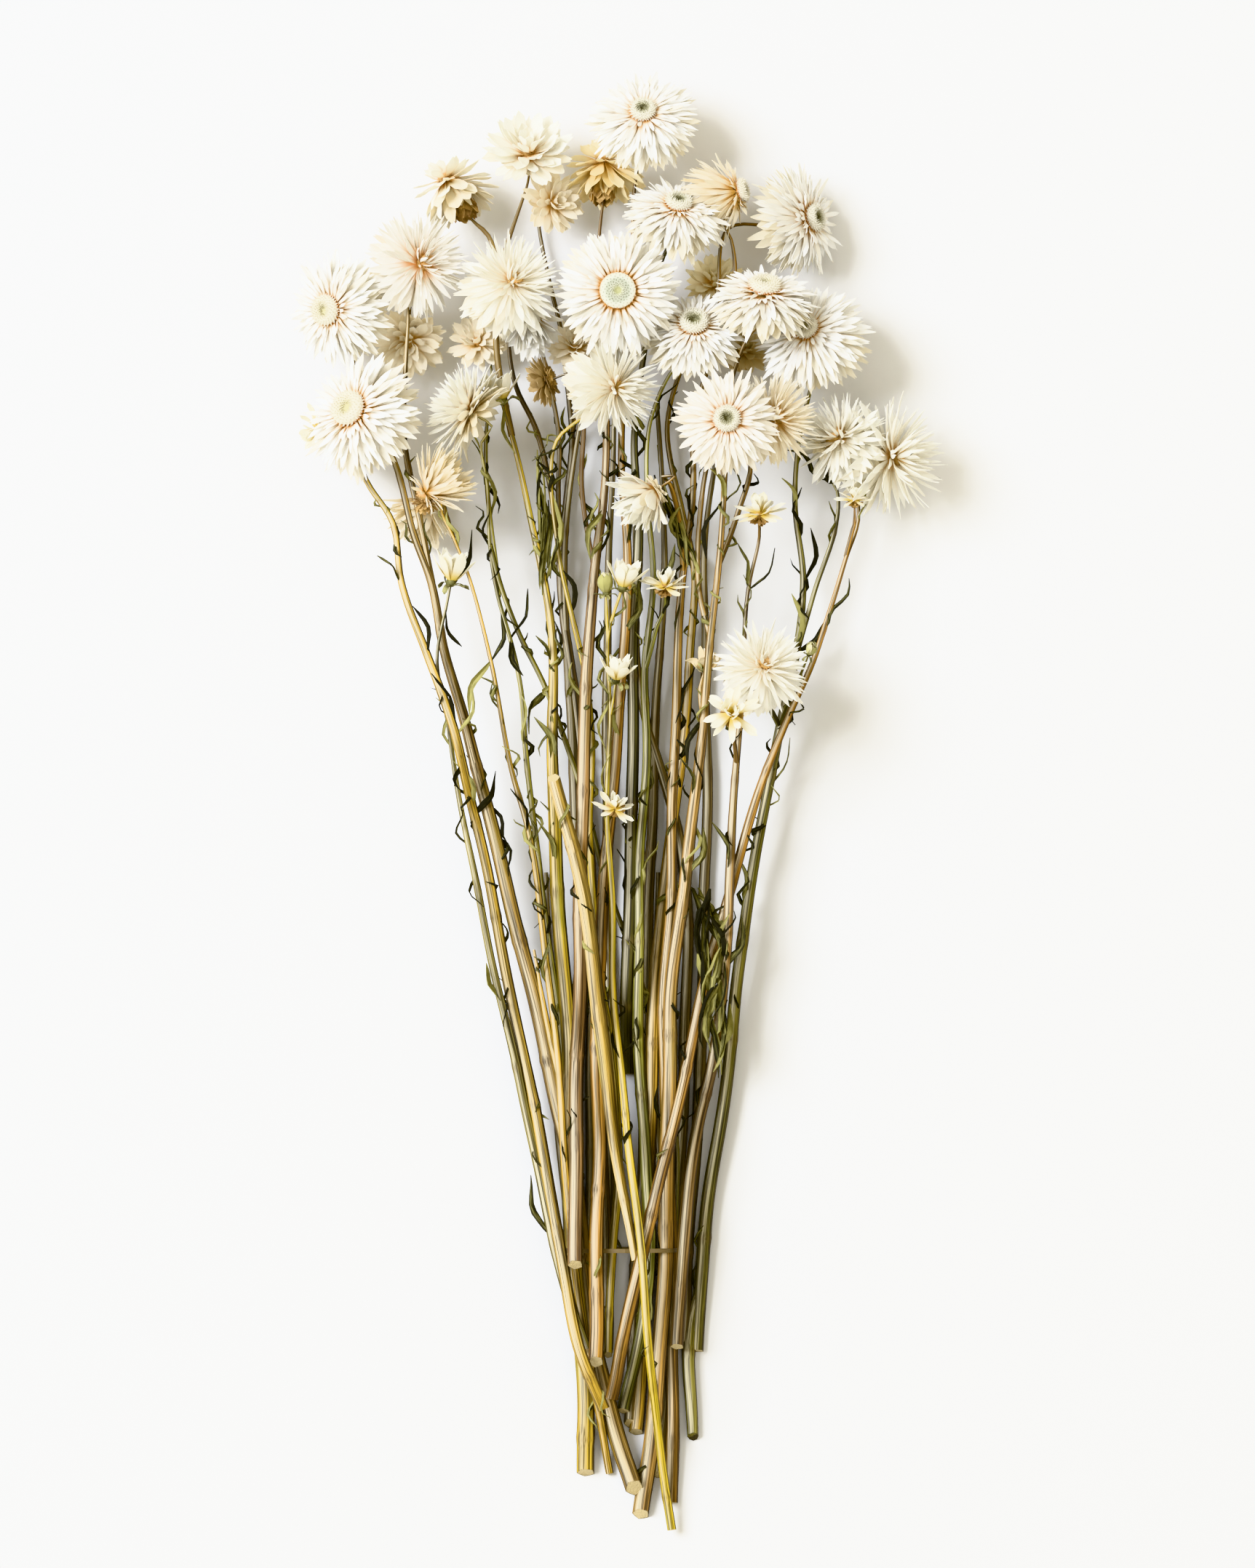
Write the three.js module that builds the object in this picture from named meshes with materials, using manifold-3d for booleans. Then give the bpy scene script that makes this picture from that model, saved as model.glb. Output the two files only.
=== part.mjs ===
// A bunch of dried strawflowers lying flat, gathered at the waist by a thin tie.
// Millimetres. X runs across the bunch, Y from the cut ends to the flower heads, Z up.
// The origin is on the table under the middle of the bunch.

import * as THREE from "three";
import { mergeVertices } from "three/addons/utils/BufferGeometryUtils.js";
import Module from "manifold-3d";

const wasm = await Module();
wasm.setup();

// ---- Driving dimensions ----

const SQUARE = 2.75; // side of one square of the layout sheet that places are given on
const MIDDLE_COLUMN = 84.5; // columns are counted from the left of the sheet
const MIDDLE_ROW = 110.4; // rows are counted from the flower end down to the cut ends
const SEAT_GAP = 0.3; // between a stem's end and the head it carries
const LAY_GAP = 0.55; // between the skins of stems that cross
const FLAT_SHARE = 0.74; // height of a stem's centre on the table, in radii, so it has a flat spot
const LEAD = 7; // straight stretch of stem below a head
const LAY_PASSES = 400;
const SETTLE_SHARE = 0.8; // share of the passes in which stems also ease back down
const LAY_STEP = 1.5; // between the places where a stem is tested against those under it
const END_SHARE = 0.45; // stretch by a fixed end, as a share of a length, that isn't tested
const BEND_EASE = 0.2; // how strongly a stem straightens in each pass
const SAG_EASE = 0.12; // how strongly it falls back to the straight way between its ends
const STEM_SIDES = 5;
const TWIG_SIDES = 4;
const NECK_RADIUS = 1.3; // of the small flat under a head

const TIE_ROW = 172;
const TIE_WIDTH = 1.6;
const TIE_THICKNESS = 0.9;
const TIE_SIDES = 28;

// ---- Colours and finishes ----

const PETAL_WHITE = 0xf4efe2;
const PETAL_CREAM = 0xeeddb4;
const PETAL_YELLOW = 0xe3c37c;
const BAND_PALE = 0xd9cfb8;

function dryFinish(colour, roughness) {
  return new THREE.MeshStandardMaterial({ color: colour, roughness, metalness: 0 });
}

// ---- Small helpers ----

const group = new THREE.Group();

// A repeatable draw between 0 and 1 for any number used as a key.
function draw(key) {
  const wave = Math.sin(key * 12.9898 + 78.233) * 43758.5453;
  return wave - Math.floor(wave);
}

function spread(key, amount) {
  return (draw(key) * 2 - 1) * amount;
}

function place([column, row], height = 0) {
  return new THREE.Vector3(
    (column - MIDDLE_COLUMN) * SQUARE,
    (MIDDLE_ROW - row) * SQUARE,
    height,
  );
}

function toRadians(degrees) {
  return (degrees * Math.PI) / 180;
}

// The way a head looks: turn is its heading seen from above, lift its angle above the table.
function facingOf(turn, lift) {
  const flat = Math.cos(toRadians(lift));
  return new THREE.Vector3(
    flat * Math.cos(toRadians(turn)),
    flat * Math.sin(toRadians(turn)),
    Math.sin(toRadians(lift)),
  );
}

// A geometry with shared corners and without the triangles that closed up to nothing.
function welded(geometry) {
  const bare = geometry.clone();
  bare.deleteAttribute("normal");
  bare.deleteAttribute("uv");
  const merged = mergeVertices(bare, 1e-3);
  const corners = merged.index.array;
  const kept = [];
  for (let i = 0; i < corners.length; i += 3) {
    const [a, b, c] = [corners[i], corners[i + 1], corners[i + 2]];
    if (a !== b && b !== c && c !== a) kept.push(a, b, c);
  }
  merged.setIndex(kept);
  return merged;
}

function solidOf(geometry) {
  const mesh = welded(geometry);
  return new wasm.Manifold(
    new wasm.Mesh({
      numProp: 3,
      vertProperties: mesh.attributes.position.array,
      triVerts: new Uint32Array(mesh.index.array),
    }),
  );
}

function geometryOf(solid) {
  const mesh = solid.getMesh();
  const geometry = new THREE.BufferGeometry();
  geometry.setAttribute("position", new THREE.BufferAttribute(mesh.vertProperties, 3));
  geometry.setIndex(new THREE.BufferAttribute(mesh.triVerts, 1));
  return geometry;
}

function addMesh(name, geometry, material) {
  const mesh = new THREE.Mesh(geometry, material);
  mesh.name = name;
  group.add(mesh);
  return mesh;
}

// ---- Flower heads ----

// Each form gives its whorls from the outside in. rise is a whorl's angle above the plane of the
// head, reach its length in radii, droop how far its tips sag. centre is the middle's height in radii.
const OPEN = {
  petals: 12,
  depth: 0.36,
  root: 0.3,
  centre: 0.1,
  whorls: [
    { rise: -24, reach: 1, droop: 0.1 },
    { rise: -6, reach: 1, droop: 0.12 },
    { rise: 14, reach: 0.88, droop: 0.1 },
  ],
};
const SHAGGY = {
  petals: 12,
  depth: 0.4,
  root: 0.24,
  centre: 0.3,
  whorls: [
    { rise: -12, reach: 0.95, droop: 0 },
    { rise: 22, reach: 1, droop: 0 },
    { rise: 52, reach: 0.95, droop: -0.05 },
  ],
};
const HALF_OPEN = {
  petals: 9,
  depth: 0.42,
  root: 0.24,
  centre: 0.35,
  whorls: [
    { rise: 8, reach: 1, droop: 0.05 },
    { rise: 42, reach: 0.95, droop: 0.05 },
  ],
};
const HANGING = {
  petals: 10,
  depth: 0.3,
  root: 0.2,
  centre: 0.35,
  whorls: [
    { rise: 40, reach: 1, droop: -0.05 },
    { rise: 66, reach: 1, droop: 0 },
  ],
};
const STAR = {
  petals: 8,
  depth: 0.5,
  root: 0.26,
  centre: 0.28,
  whorls: [{ rise: 16, reach: 1, droop: -0.06 }],
};
const BUD = {
  petals: 6,
  depth: 0.9,
  root: 0.42,
  centre: 1.15,
  whorls: [{ rise: 68, reach: 1.25, droop: 0 }],
};

const NOTCH = 0.42; // where the gap between two petals starts, along the petal
const SHORT_CORNER = 0.9; // the lower corner of a petal's slanting tip
const ROOT_STEP = 0.055; // between the roots of one whorl and the next, in radii

// A lathe whose rings are drawn out into whorls of petals. The rings run from the neck under the
// head out to the tips of a whorl, back to its root, out to the next, and over the middle.
function headGeometry(form, radius, seed) {
  const rings = [{ r: 0, z: -form.depth }, { r: NECK_RADIUS / radius, z: -form.depth }];
  form.whorls.forEach((whorl, k) => {
    const z = (k - form.whorls.length + 0.5) * ROOT_STEP;
    rings.push({ r: form.root, z: z - ROOT_STEP / 2 });
    rings.push({ r: form.root, z, whorl, k });
  });
  rings.push({ r: form.root, z: 0 });
  rings.push({ r: form.root * 0.7, z: form.centre * 0.8 });
  rings.push({ r: 0, z: form.centre });

  const segments = 3 * form.petals;
  const profile = rings.map((ring) => new THREE.Vector2(ring.r, ring.z));
  const lathe = new THREE.LatheGeometry(profile, segments);
  const position = lathe.attributes.position;
  const slice = (2 * Math.PI) / segments;
  for (let i = 0; i <= segments; i++) {
    rings.forEach((ring, j) => {
      const side = i % segments;
      let angle = (3 * Math.floor(side / 3) + 1) * slice;
      let r = ring.r;
      let z = ring.z;
      if (ring.whorl) {
        const shifted = side + ring.k;
        const corner = shifted % 3;
        const key = seed * 97 + ring.k * 31 + (Math.floor(shifted / 3) % form.petals);
        const length = ring.whorl.reach * (1 + spread(key, 0.1)) - form.root;
        const along = [NOTCH, 1, SHORT_CORNER][corner] * length;
        const rise = toRadians(ring.whorl.rise + spread(key + 0.5, corner ? 5 : 0));
        angle = side * slice + (corner ? spread(key + 0.7, 0.25 * slice) : 0);
        r += along * Math.cos(rise);
        z += along * Math.sin(rise) - ring.whorl.droop * along * along;
      }
      position.setXYZ(
        i * rings.length + j,
        radius * r * Math.sin(angle),
        radius * z,
        radius * r * Math.cos(angle),
      );
    });
  }
  return welded(lathe);
}

const heads = new Map();
const ON_TABLE = null; // a head whose petals rest on the table

// A head is set by its heart, the middle of its disc, and the way it faces.
function addHead(name, form, colour, radius, spot, height, turn, lift) {
  const seed = heads.size + 1;
  const facing = facingOf(turn, lift);
  const turned = new THREE.Quaternion().setFromUnitVectors(new THREE.Vector3(0, 1, 0), facing);
  const geometry = headGeometry(form, radius, seed);
  const mesh = addMesh(name, geometry, dryFinish(colour, 0.85));
  mesh.quaternion.copy(turned);
  const corner = new THREE.Vector3();
  let lowest = 0;
  for (let i = 0; i < geometry.attributes.position.count; i++) {
    corner.fromBufferAttribute(geometry.attributes.position, i).applyQuaternion(turned);
    lowest = Math.min(lowest, corner.z);
  }
  mesh.position.copy(place(spot, height === ON_TABLE ? -lowest : height));
  const neck = mesh.position.clone().addScaledVector(facing, -form.depth * radius - SEAT_GAP);
  heads.set(name, { neck, facing });
}

addHead("bloom_01", OPEN, PETAL_WHITE, 21, [88.4, 15.6], 34, 95, 55);
addHead("bloom_02", SHAGGY, PETAL_CREAM, 18, [72.6, 20.6], 27, 90, 45);
addHead("bloom_03", HALF_OPEN, PETAL_CREAM, 17, [62.2, 25.6], 17, 120, -15);
addHead("bloom_04", HALF_OPEN, PETAL_YELLOW, 15, [82.9, 21.8], 15, 90, -20);
addHead("bloom_05", HALF_OPEN, PETAL_CREAM, 13, [76.2, 27.8], 18, 20, 60);
addHead("bloom_06", OPEN, PETAL_WHITE, 20, [93.2, 28.4], 38, 80, 35);
addHead("bloom_07", SHAGGY, PETAL_CREAM, 14, [101.6, 26.4], 30, 62, 10);
addHead("bloom_08", OPEN, PETAL_WHITE, 21, [111.6, 30.0], ON_TABLE, 12, 30);
addHead("bloom_09", SHAGGY, PETAL_WHITE, 20, [58.6, 36.2], 38, 35, 45);
addHead("bloom_10", SHAGGY, PETAL_WHITE, 20, [70.9, 38.6], 46, 60, 68);
addHead("bloom_11", OPEN, PETAL_WHITE, 23.5, [84.9, 40.4], 53, 80, 86);
addHead("bloom_12", OPEN, PETAL_WHITE, 21, [45.2, 42.8], 34, 185, 50);
addHead("bloom_13", HALF_OPEN, PETAL_YELLOW, 15, [56.2, 47.2], ON_TABLE, 270, 25);
addHead("bloom_14", HANGING, PETAL_WHITE, 15, [72.8, 44.2], 28, 270, 40);
addHead("bloom_15", OPEN, PETAL_WHITE, 19, [95.3, 44.8], 41, 88, 50);
addHead("bloom_16", OPEN, PETAL_WHITE, 20, [105.0, 40.0], 46, 85, 28);
addHead("bloom_17", OPEN, PETAL_WHITE, 22, [110.8, 45.4], 33, 120, 55);
addHead("bloom_18", HALF_OPEN, PETAL_YELLOW, 12, [98.2, 38.4], 12, 90, 30);
addHead("bloom_19", OPEN, PETAL_WHITE, 24, [48.4, 56.6], 44, 150, 48);
addHead("bloom_21", SHAGGY, PETAL_CREAM, 18, [63.4, 55.8], 36, 145, -5);
addHead("bloom_22", SHAGGY, PETAL_WHITE, 19, [85.6, 53.8], 48, -10, 25);
addHead("bloom_23", HALF_OPEN, PETAL_YELLOW, 10, [74.6, 52.6], 30, 195, -20);
addHead("bloom_24", OPEN, PETAL_WHITE, 21, [99.8, 58.0], 58, 100, 80);
addHead("bloom_25", SHAGGY, PETAL_WHITE, 18, [105.6, 57.2], 35, 40, 35);
addHead("bloom_26", SHAGGY, PETAL_WHITE, 18, [114.8, 59.6], 28, 60, 30);
addHead("bloom_27", SHAGGY, PETAL_WHITE, 22.5, [123.8, 62.8], ON_TABLE, 0, 20);
addHead("bloom_29", SHAGGY, PETAL_CREAM, 11.5, [60.8, 66.5], 42, 90, 20);
addHead("bloom_30", HANGING, PETAL_WHITE, 17, [58.4, 69.8], ON_TABLE, 250, 10);
addHead("bloom_31", HANGING, PETAL_WHITE, 16, [89.2, 68.2], 42, 215, 10);
addHead("bloom_36", SHAGGY, PETAL_WHITE, 18, [104.6, 92.2], 44, 80, 62);
addHead("bloom_44", HALF_OPEN, PETAL_YELLOW, 12, [102.2, 47.8], 15, 70, 30);
addHead("bloom_45", HALF_OPEN, PETAL_YELLOW, 12, [65.6, 46.8], 13, 120, 40);
addHead("bloom_46", HALF_OPEN, PETAL_YELLOW, 12, [79.1, 47.4], 17, 100, 40);
addHead("star_20", STAR, PETAL_YELLOW, 11, [43.3, 59.4], 18, 200, 30);
addHead("star_28", STAR, PETAL_YELLOW, 7.5, [117.4, 68.4], 30, 90, 20);
addHead("star_32", STAR, PETAL_YELLOW, 11, [104.3, 70.3], 38, 90, 40);
addHead("star_35", STAR, PETAL_CREAM, 10, [91.4, 80.3], 40, 90, 40);
addHead("star_37", STAR, PETAL_CREAM, 9, [101.0, 98.4], 36, 90, 72);
addHead("star_39", STAR, PETAL_CREAM, 9, [84.6, 110.8], 36, 90, 75);

// ---- Stems ----

// A curve that is walked from one listed point to the next, so each point is one ring of the tube.
class Route extends THREE.CatmullRomCurve3 {
  getPointAt(share) {
    return this.getPoint(share);
  }

  getTangentAt(share) {
    return this.getTangent(share);
  }
}

// A tapering tube: section is drawn at unit size and widths scales it at each point.
function taperedTube(points, widths, section) {
  const tube = new THREE.ExtrudeGeometry(section, {
    extrudePath: new Route(points, false, "centripetal"),
    steps: points.length - 1,
  });
  const position = tube.attributes.position;
  const corner = new THREE.Vector3();
  for (let i = 0; i < position.count; i++) {
    corner.fromBufferAttribute(position, i);
    let nearest = 0;
    points.forEach((point, j) => {
      if (corner.distanceTo(point) < corner.distanceTo(points[nearest])) nearest = j;
    });
    corner.sub(points[nearest]).multiplyScalar(widths[nearest]).add(points[nearest]);
    position.setXYZ(i, corner.x, corner.y, corner.z);
  }
  return tube;
}

function roundSection(sides) {
  const corners = [];
  for (let i = 0; i < sides; i++) {
    const angle = (2 * Math.PI * (i + 0.5)) / sides;
    corners.push(new THREE.Vector2(Math.cos(angle), Math.sin(angle)));
  }
  return new THREE.Shape(corners);
}

const LEAF_SECTION = new THREE.Shape([
  new THREE.Vector2(0.5, 0),
  new THREE.Vector2(-0.2, 1),
  new THREE.Vector2(-0.2, -1),
]);

// Short straight lengths of what already lies in the bunch. The first is the band's own lower run.
const BAND_RUN = { from: 70, to: 100, height: 0.2, radius: 0.7 };
const laid = [
  {
    a: place([BAND_RUN.from, TIE_ROW], BAND_RUN.height),
    b: place([BAND_RUN.to, TIE_ROW], BAND_RUN.height),
    radius: BAND_RUN.radius,
  },
];

// How high each point of a new length must be to clear what lies under it. Between two spots
// with given heights it passes under whatever lies higher.
function needsOver(points, radii, given) {
  const needs = [];
  for (let j = 0; j + 1 < points.length; j++) {
    const fixed = given[j] && given[j + 1];
    const run = new THREE.Vector2().subVectors(points[j + 1], points[j]).length();
    const samples = Math.max(2, Math.ceil(run / LAY_STEP));
    for (let i = 0; i <= samples; i++) {
      const t = i / samples;
      const x = THREE.MathUtils.lerp(points[j].x, points[j + 1].x, t);
      const y = THREE.MathUtils.lerp(points[j].y, points[j + 1].y, t);
      const radius = THREE.MathUtils.lerp(radii[j], radii[j + 1], t);
      for (const piece of laid) {
        const along = new THREE.Vector2(piece.b.x - piece.a.x, piece.b.y - piece.a.y);
        const to = new THREE.Vector2(x - piece.a.x, y - piece.a.y);
        const u = THREE.MathUtils.clamp(to.dot(along) / along.lengthSq(), 0, 1);
        const apart = to.addScaledVector(along, -u).length();
        const reach = radius + piece.radius + LAY_GAP;
        const under = THREE.MathUtils.lerp(piece.a.z, piece.b.z, u);
        const passesUnder = fixed && under > THREE.MathUtils.lerp(points[j].z, points[j + 1].z, t);
        if (apart < reach && !passesUnder) {
          needs.push({ j, t, height: under + Math.sqrt(reach * reach - apart * apart) });
        }
      }
    }
  }
  return needs;
}

// A stem follows the straight way between its ends, and arches over the others where it lies on them.
function layOver(points, radii, given, holdStart) {
  const last = points.length - 1;
  const wished = points.map((point) => point.z);
  const nearHead = ({ j, t }) => j + 1 === last && t > 1 - END_SHARE;
  const nearFork = ({ j, t }) => holdStart && j === 0 && t < END_SHARE;
  const needs = needsOver(points, radii, given).filter(
    (need) => !nearHead(need) && !nearFork(need),
  );
  for (let pass = 0; pass < LAY_PASSES; pass++) {
    if (pass < SETTLE_SHARE * LAY_PASSES) {
      for (let j = 1; j < last; j++) {
        const before = points[j].distanceTo(points[j - 1]);
        const after = points[j].distanceTo(points[j + 1]);
        const straight = (points[j - 1].z * after + points[j + 1].z * before) / (before + after);
        points[j].z += BEND_EASE * (straight - points[j].z) + SAG_EASE * (wished[j] - points[j].z);
      }
      if (!holdStart) points[0].z += SAG_EASE * (wished[0] - points[0].z);
    }
    for (const { j, t, height } of needs) {
      const short = height - THREE.MathUtils.lerp(points[j].z, points[j + 1].z, t);
      if (short > 0) {
        const lift = short / ((1 - t) * (1 - t) + t * t);
        if (j > 0 || !holdStart) points[j].z += (1 - t) * lift;
        if (j + 1 < last) points[j + 1].z += t * lift;
      }
    }
  }
}

function addLaid(points, radii) {
  for (let j = 0; j + 1 < points.length; j++) {
    laid.push({ a: points[j], b: points[j + 1], radius: (radii[j] + radii[j + 1]) / 2 });
  }
}

function radiiAlong(count, [startWidth, endWidth]) {
  const radii = [];
  for (let j = 0; j < count; j++) {
    radii.push(THREE.MathUtils.lerp(startWidth, endWidth, j / (count - 1)) / 2);
  }
  return radii;
}

// The points of one length of stem, from its start to the neck of its head or to its free end.
// A spot on its route may give a height to pass at. Between such spots it runs straight.
function routePoints({ route, head, end }, start) {
  const points = route.map((spot) => place(spot));
  points[0].z = start;
  const lead = [];
  if (head) {
    const { neck, facing } = heads.get(head);
    lead.push(neck.clone().addScaledVector(facing, -LEAD), neck.clone());
  }
  const flat = head ? points.concat(lead[0]) : points;
  const heights = route.map((spot) => spot[2]);
  heights[0] = start;
  heights[flat.length - 1] = head ? lead[0].z : end;
  let from = 0;
  for (let to = 1; to < flat.length; to++) {
    if (heights[to] === undefined) continue;
    const marks = [0];
    for (let j = from + 1; j <= to; j++) {
      const step = Math.hypot(flat[j].x - flat[j - 1].x, flat[j].y - flat[j - 1].y);
      marks.push(marks[marks.length - 1] + step);
    }
    marks.forEach((mark, i) => {
      const share = mark / marks[marks.length - 1];
      flat[from + i].z = THREE.MathUtils.lerp(heights[from], heights[to], share);
    });
    from = to;
  }
  return { flat, tip: lead.slice(1), given: flat.map((_, j) => heights[j] !== undefined) };
}

function nearestOn(points, spot) {
  const wanted = place(spot);
  let nearest = 0;
  points.forEach((point, j) => {
    const gap = Math.hypot(point.x - wanted.x, point.y - wanted.y);
    const best = Math.hypot(points[nearest].x - wanted.x, points[nearest].y - wanted.y);
    if (gap < best) nearest = j;
  });
  return nearest;
}

// A narrow dry leaf that leaves its stem at one spot and curls to its tip.
function leafSolid(points, { from, tip, rise, width = 2.6, bow = 0.16 }) {
  const root = points[nearestOn(points, from)];
  const end = place(tip, root.z + rise);
  const aside = new THREE.Vector3(end.y - root.y, root.x - end.x, 0);
  const middle = new THREE.Vector3().lerpVectors(root, end, 0.5).addScaledVector(aside, bow);
  middle.z = root.z + rise * 0.75;
  const blade = [root.clone(), new THREE.Vector3().lerpVectors(root, middle, 0.5), middle, end];
  blade[1].z = root.z + rise * 0.45;
  const widths = [0.5, 1, 0.9, 0.16].map((share) => (share * width) / 2);
  return solidOf(taperedTube(blade, widths, LEAF_SECTION));
}

// An unopened bud fused to the end of a length of stem.
function budSolid(points, radius) {
  const end = points[points.length - 1];
  const before = points[points.length - 2];
  const facing = new THREE.Vector3().subVectors(end, before).normalize();
  const bud = headGeometry(BUD, radius, 3 * points.length);
  bud.applyQuaternion(new THREE.Quaternion().setFromUnitVectors(new THREE.Vector3(0, 1, 0), facing));
  const sink = 0.7 * BUD.depth * radius;
  bud.translate(end.x + facing.x * sink, end.y + facing.y * sink, end.z + facing.z * sink);
  return solidOf(bud);
}

const table = new THREE.BoxGeometry(800, 800, 20).translate(0, 0, -10);

// One stem with its twigs, leaves and buds as one solid, laid on what is already there.
function addStem(name, colour, { twigs = [], leaves = [], ...main }) {
  const lengths = [];
  const layLength = (part, start, sides, held) => {
    const { flat, tip, given } = routePoints(part, start);
    const radii = radiiAlong(flat.length + tip.length, part.width);
    layOver(flat, radii, given, held);
    const points = flat.concat(tip);
    lengths.push({ points, radii });
    let solid = solidOf(taperedTube(points, radii, roundSection(sides)));
    if (part.bud) solid = solid.add(budSolid(points, part.bud));
    return solid;
  };
  let whole = layLength(main, (main.width[0] / 2) * FLAT_SHARE, STEM_SIDES, false);
  for (const twig of twigs) {
    const carrier = lengths[twig.on ?? 0].points;
    const fork = carrier[nearestOn(carrier, twig.route[0])];
    whole = whole.add(layLength(twig, fork.z, TWIG_SIDES, true));
  }
  for (const leaf of leaves) {
    whole = whole.add(leafSolid(lengths[leaf.on ?? 0].points, leaf));
  }
  lengths.forEach(({ points, radii }) => addLaid(points, radii));
  whole = whole.subtract(solidOf(table));
  addMesh(name, geometryOf(whole), dryFinish(colour, 0.8));
}

// Stems inside the tie, in the order they lie on the table.

addStem("stem_dark_brown", 0x5a4128, {
  width: [3.8, 2.2],
  route: [[83.4, 180], [83.2, 165], [82.7, 150], [82, 135], [81.2, 120], [80.4, 108], [79.5, 100],
    [78.2, 90], [77.6, 85], [77.1, 76], [77.8, 68], [78.6, 60], [78.1, 53], [77, 45], [75.6, 39]],
  head: "bloom_05",
  twigs: [
    { route: [[77.1, 76], [76.8, 68], [76.8, 60], [75.4, 52, 14], [73.6, 44, 15]],
      width: [1.8, 1.5], head: "bloom_14" },
    { route: [[77.1, 76], [75.2, 65], [73.6, 58.6], [71, 53, 20], [69.8, 46, 21]],
      width: [2, 1.8], head: "bloom_10" },
    { route: [[78.6, 60], [79.4, 55, 32]], width: [1.8, 1.6], head: "bloom_23" },
  ],
});

addStem("stem_thin_green_pair", 0x8f8b4f, {
  width: [1.9, 1.7],
  route: [[80.5, 179], [79.6, 165], [77.6, 147], [75.6, 130], [73.6, 115], [72.4, 104], [71.6, 95],
    [70.2, 88], [68.6, 82], [67.4, 75], [66.9, 67], [66.2, 61]],
  head: "bloom_21",
  twigs: [
    { route: [[68.6, 82], [67.4, 71, 17], [66.8, 60, 9], [67.4, 53, 6]], width: [1.7, 1.5],
      head: "bloom_45" },
    { route: [[67.4, 75], [69, 81], [71.4, 87.4], [75.2, 95], [78.8, 105], [82.9, 120], [86.5, 130],
      [89.8, 141], [92.2, 150], [93.1, 158], [93, 168]], width: [1.8, 2.2], end: 7 },
  ],
  leaves: [
    { from: [70.2, 88], tip: [72.6, 81], rise: 5, width: 2.4 },
    { from: [70.2, 88], tip: [72, 93], rise: 4, width: 2.4 },
    { on: 2, from: [75.2, 95], tip: [72.8, 101], rise: 5, width: 3.6 },
  ],
});

addStem("stem_yellow_curved", 0xb8a45a, {
  width: [3.2, 1.8],
  route: [[83.6, 186.5], [84.2, 172], [85.2, 160], [84, 145], [82.2, 130], [81, 116], [81.4, 103],
    [80.4, 92.4], [78.6, 84], [76.8, 76], [75.7, 67], [76.6, 60.8], [81, 56.6]],
  head: "bloom_22",
  leaves: [
    { from: [78.6, 84], tip: [77.4, 78.6], rise: 6 },
  ],
});

addStem("stem_pale_tan", 0xb99f6a, {
  width: [4.4, 2.4],
  route: [[87.5, 197.2], [88.5, 185], [89.1, 172], [89.4, 155], [89.9, 140], [90.9, 125], [93, 110],
    [94.3, 99], [95, 89], [95.4, 79], [93.8, 70], [91.8, 58], [94.4, 48.6]],
  head: "bloom_18",
});

addStem("stem_orange_brown", 0x8a5c36, {
  width: [4.4, 2],
  route: [[92.3, 207], [92.5, 190], [92.2, 170], [91.6, 152], [91.3, 138], [92.2, 124], [92.6, 108],
    [93.2, 90], [93.9, 79], [95.3, 68], [95.6, 57], [97.8, 48, 26], [98.8, 39.6, 27], [100.2, 31.4, 20]],
  head: "bloom_08",
  twigs: [
    { route: [[97.8, 48], [100.9, 39], [100.6, 33]], width: [1.6, 1.5], head: "bloom_07" },
    { route: [[93.9, 79], [93.4, 71.4], [92, 66.6], [91, 65.6]], width: [2, 1.8], head: "bloom_31" },
  ],
});

addStem("stem_pale_mauve", 0xa48a70, {
  width: [5.2, 3],
  route: [[88.1, 208.5], [90, 195], [91.2, 180], [91.7, 163], [92.1, 148], [92.4, 134.5], [94.2, 121],
    [95.6, 110], [96.6, 99], [97.7, 88], [98.7, 78], [99.5, 69]],
  head: "bloom_24",
  twigs: [
    { route: [[97.7, 88], [95.9, 80], [96.6, 68], [99, 57]], width: [2, 1.6],
      head: "bloom_44" },
    { route: [[98.7, 78], [101.4, 70.4, 28], [103.2, 65, 27]], width: [2, 1.8], head: "bloom_25" },
    { route: [[99.5, 69], [99.2, 60, 33], [100.8, 52, 33], [103, 46.4, 36]],
      width: [1.8, 1.6], head: "bloom_16" },
    { route: [[96.6, 99], [96.2, 94.6], [96.8, 92.4]], width: [1.5, 1.4], end: 26, bud: 3.2 },
  ],
  leaves: [
    { from: [99.5, 69], tip: [97, 77], rise: 4, width: 2.8 },
    { from: [99.5, 69], tip: [97.4, 64.6], rise: 3, width: 2.4 },
    { from: [95.6, 110], tip: [93.4, 104], rise: 5 },
    { from: [94.2, 121], tip: [96.6, 113.8], rise: 5, width: 3 },
    { from: [96.6, 99], tip: [94.4, 105.6], rise: 5, width: 2.4 },
  ],
});

addStem("stem_dark_olive", 0x6a6130, {
  width: [4.2, 2.4],
  route: [[86.2, 147.8], [86.3, 135], [86.7, 118], [87, 100], [87.2, 86], [87.7, 72], [87.3, 60],
    [88.6, 48], [90.8, 36.6]],
  head: "bloom_06",
});

addStem("stem_green", 0x7d7f45, {
  width: [4, 2],
  route: [[85.7, 194.3], [87.8, 185], [89.5, 172], [88.8, 160], [88, 148], [87.8, 133], [88, 118],
    [88.9, 104], [88.8, 92], [89.7, 80, 21], [89, 68, 22], [89.4, 58, 24], [92, 51.6, 26]],
  head: "bloom_15",
  twigs: [{ route: [[88.8, 92], [90.3, 86]], width: [1.7, 1.5], head: "star_35" }],
  leaves: [
    { from: [89.7, 80], tip: [92.8, 74.8], rise: 8 },
  ],
});

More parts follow.
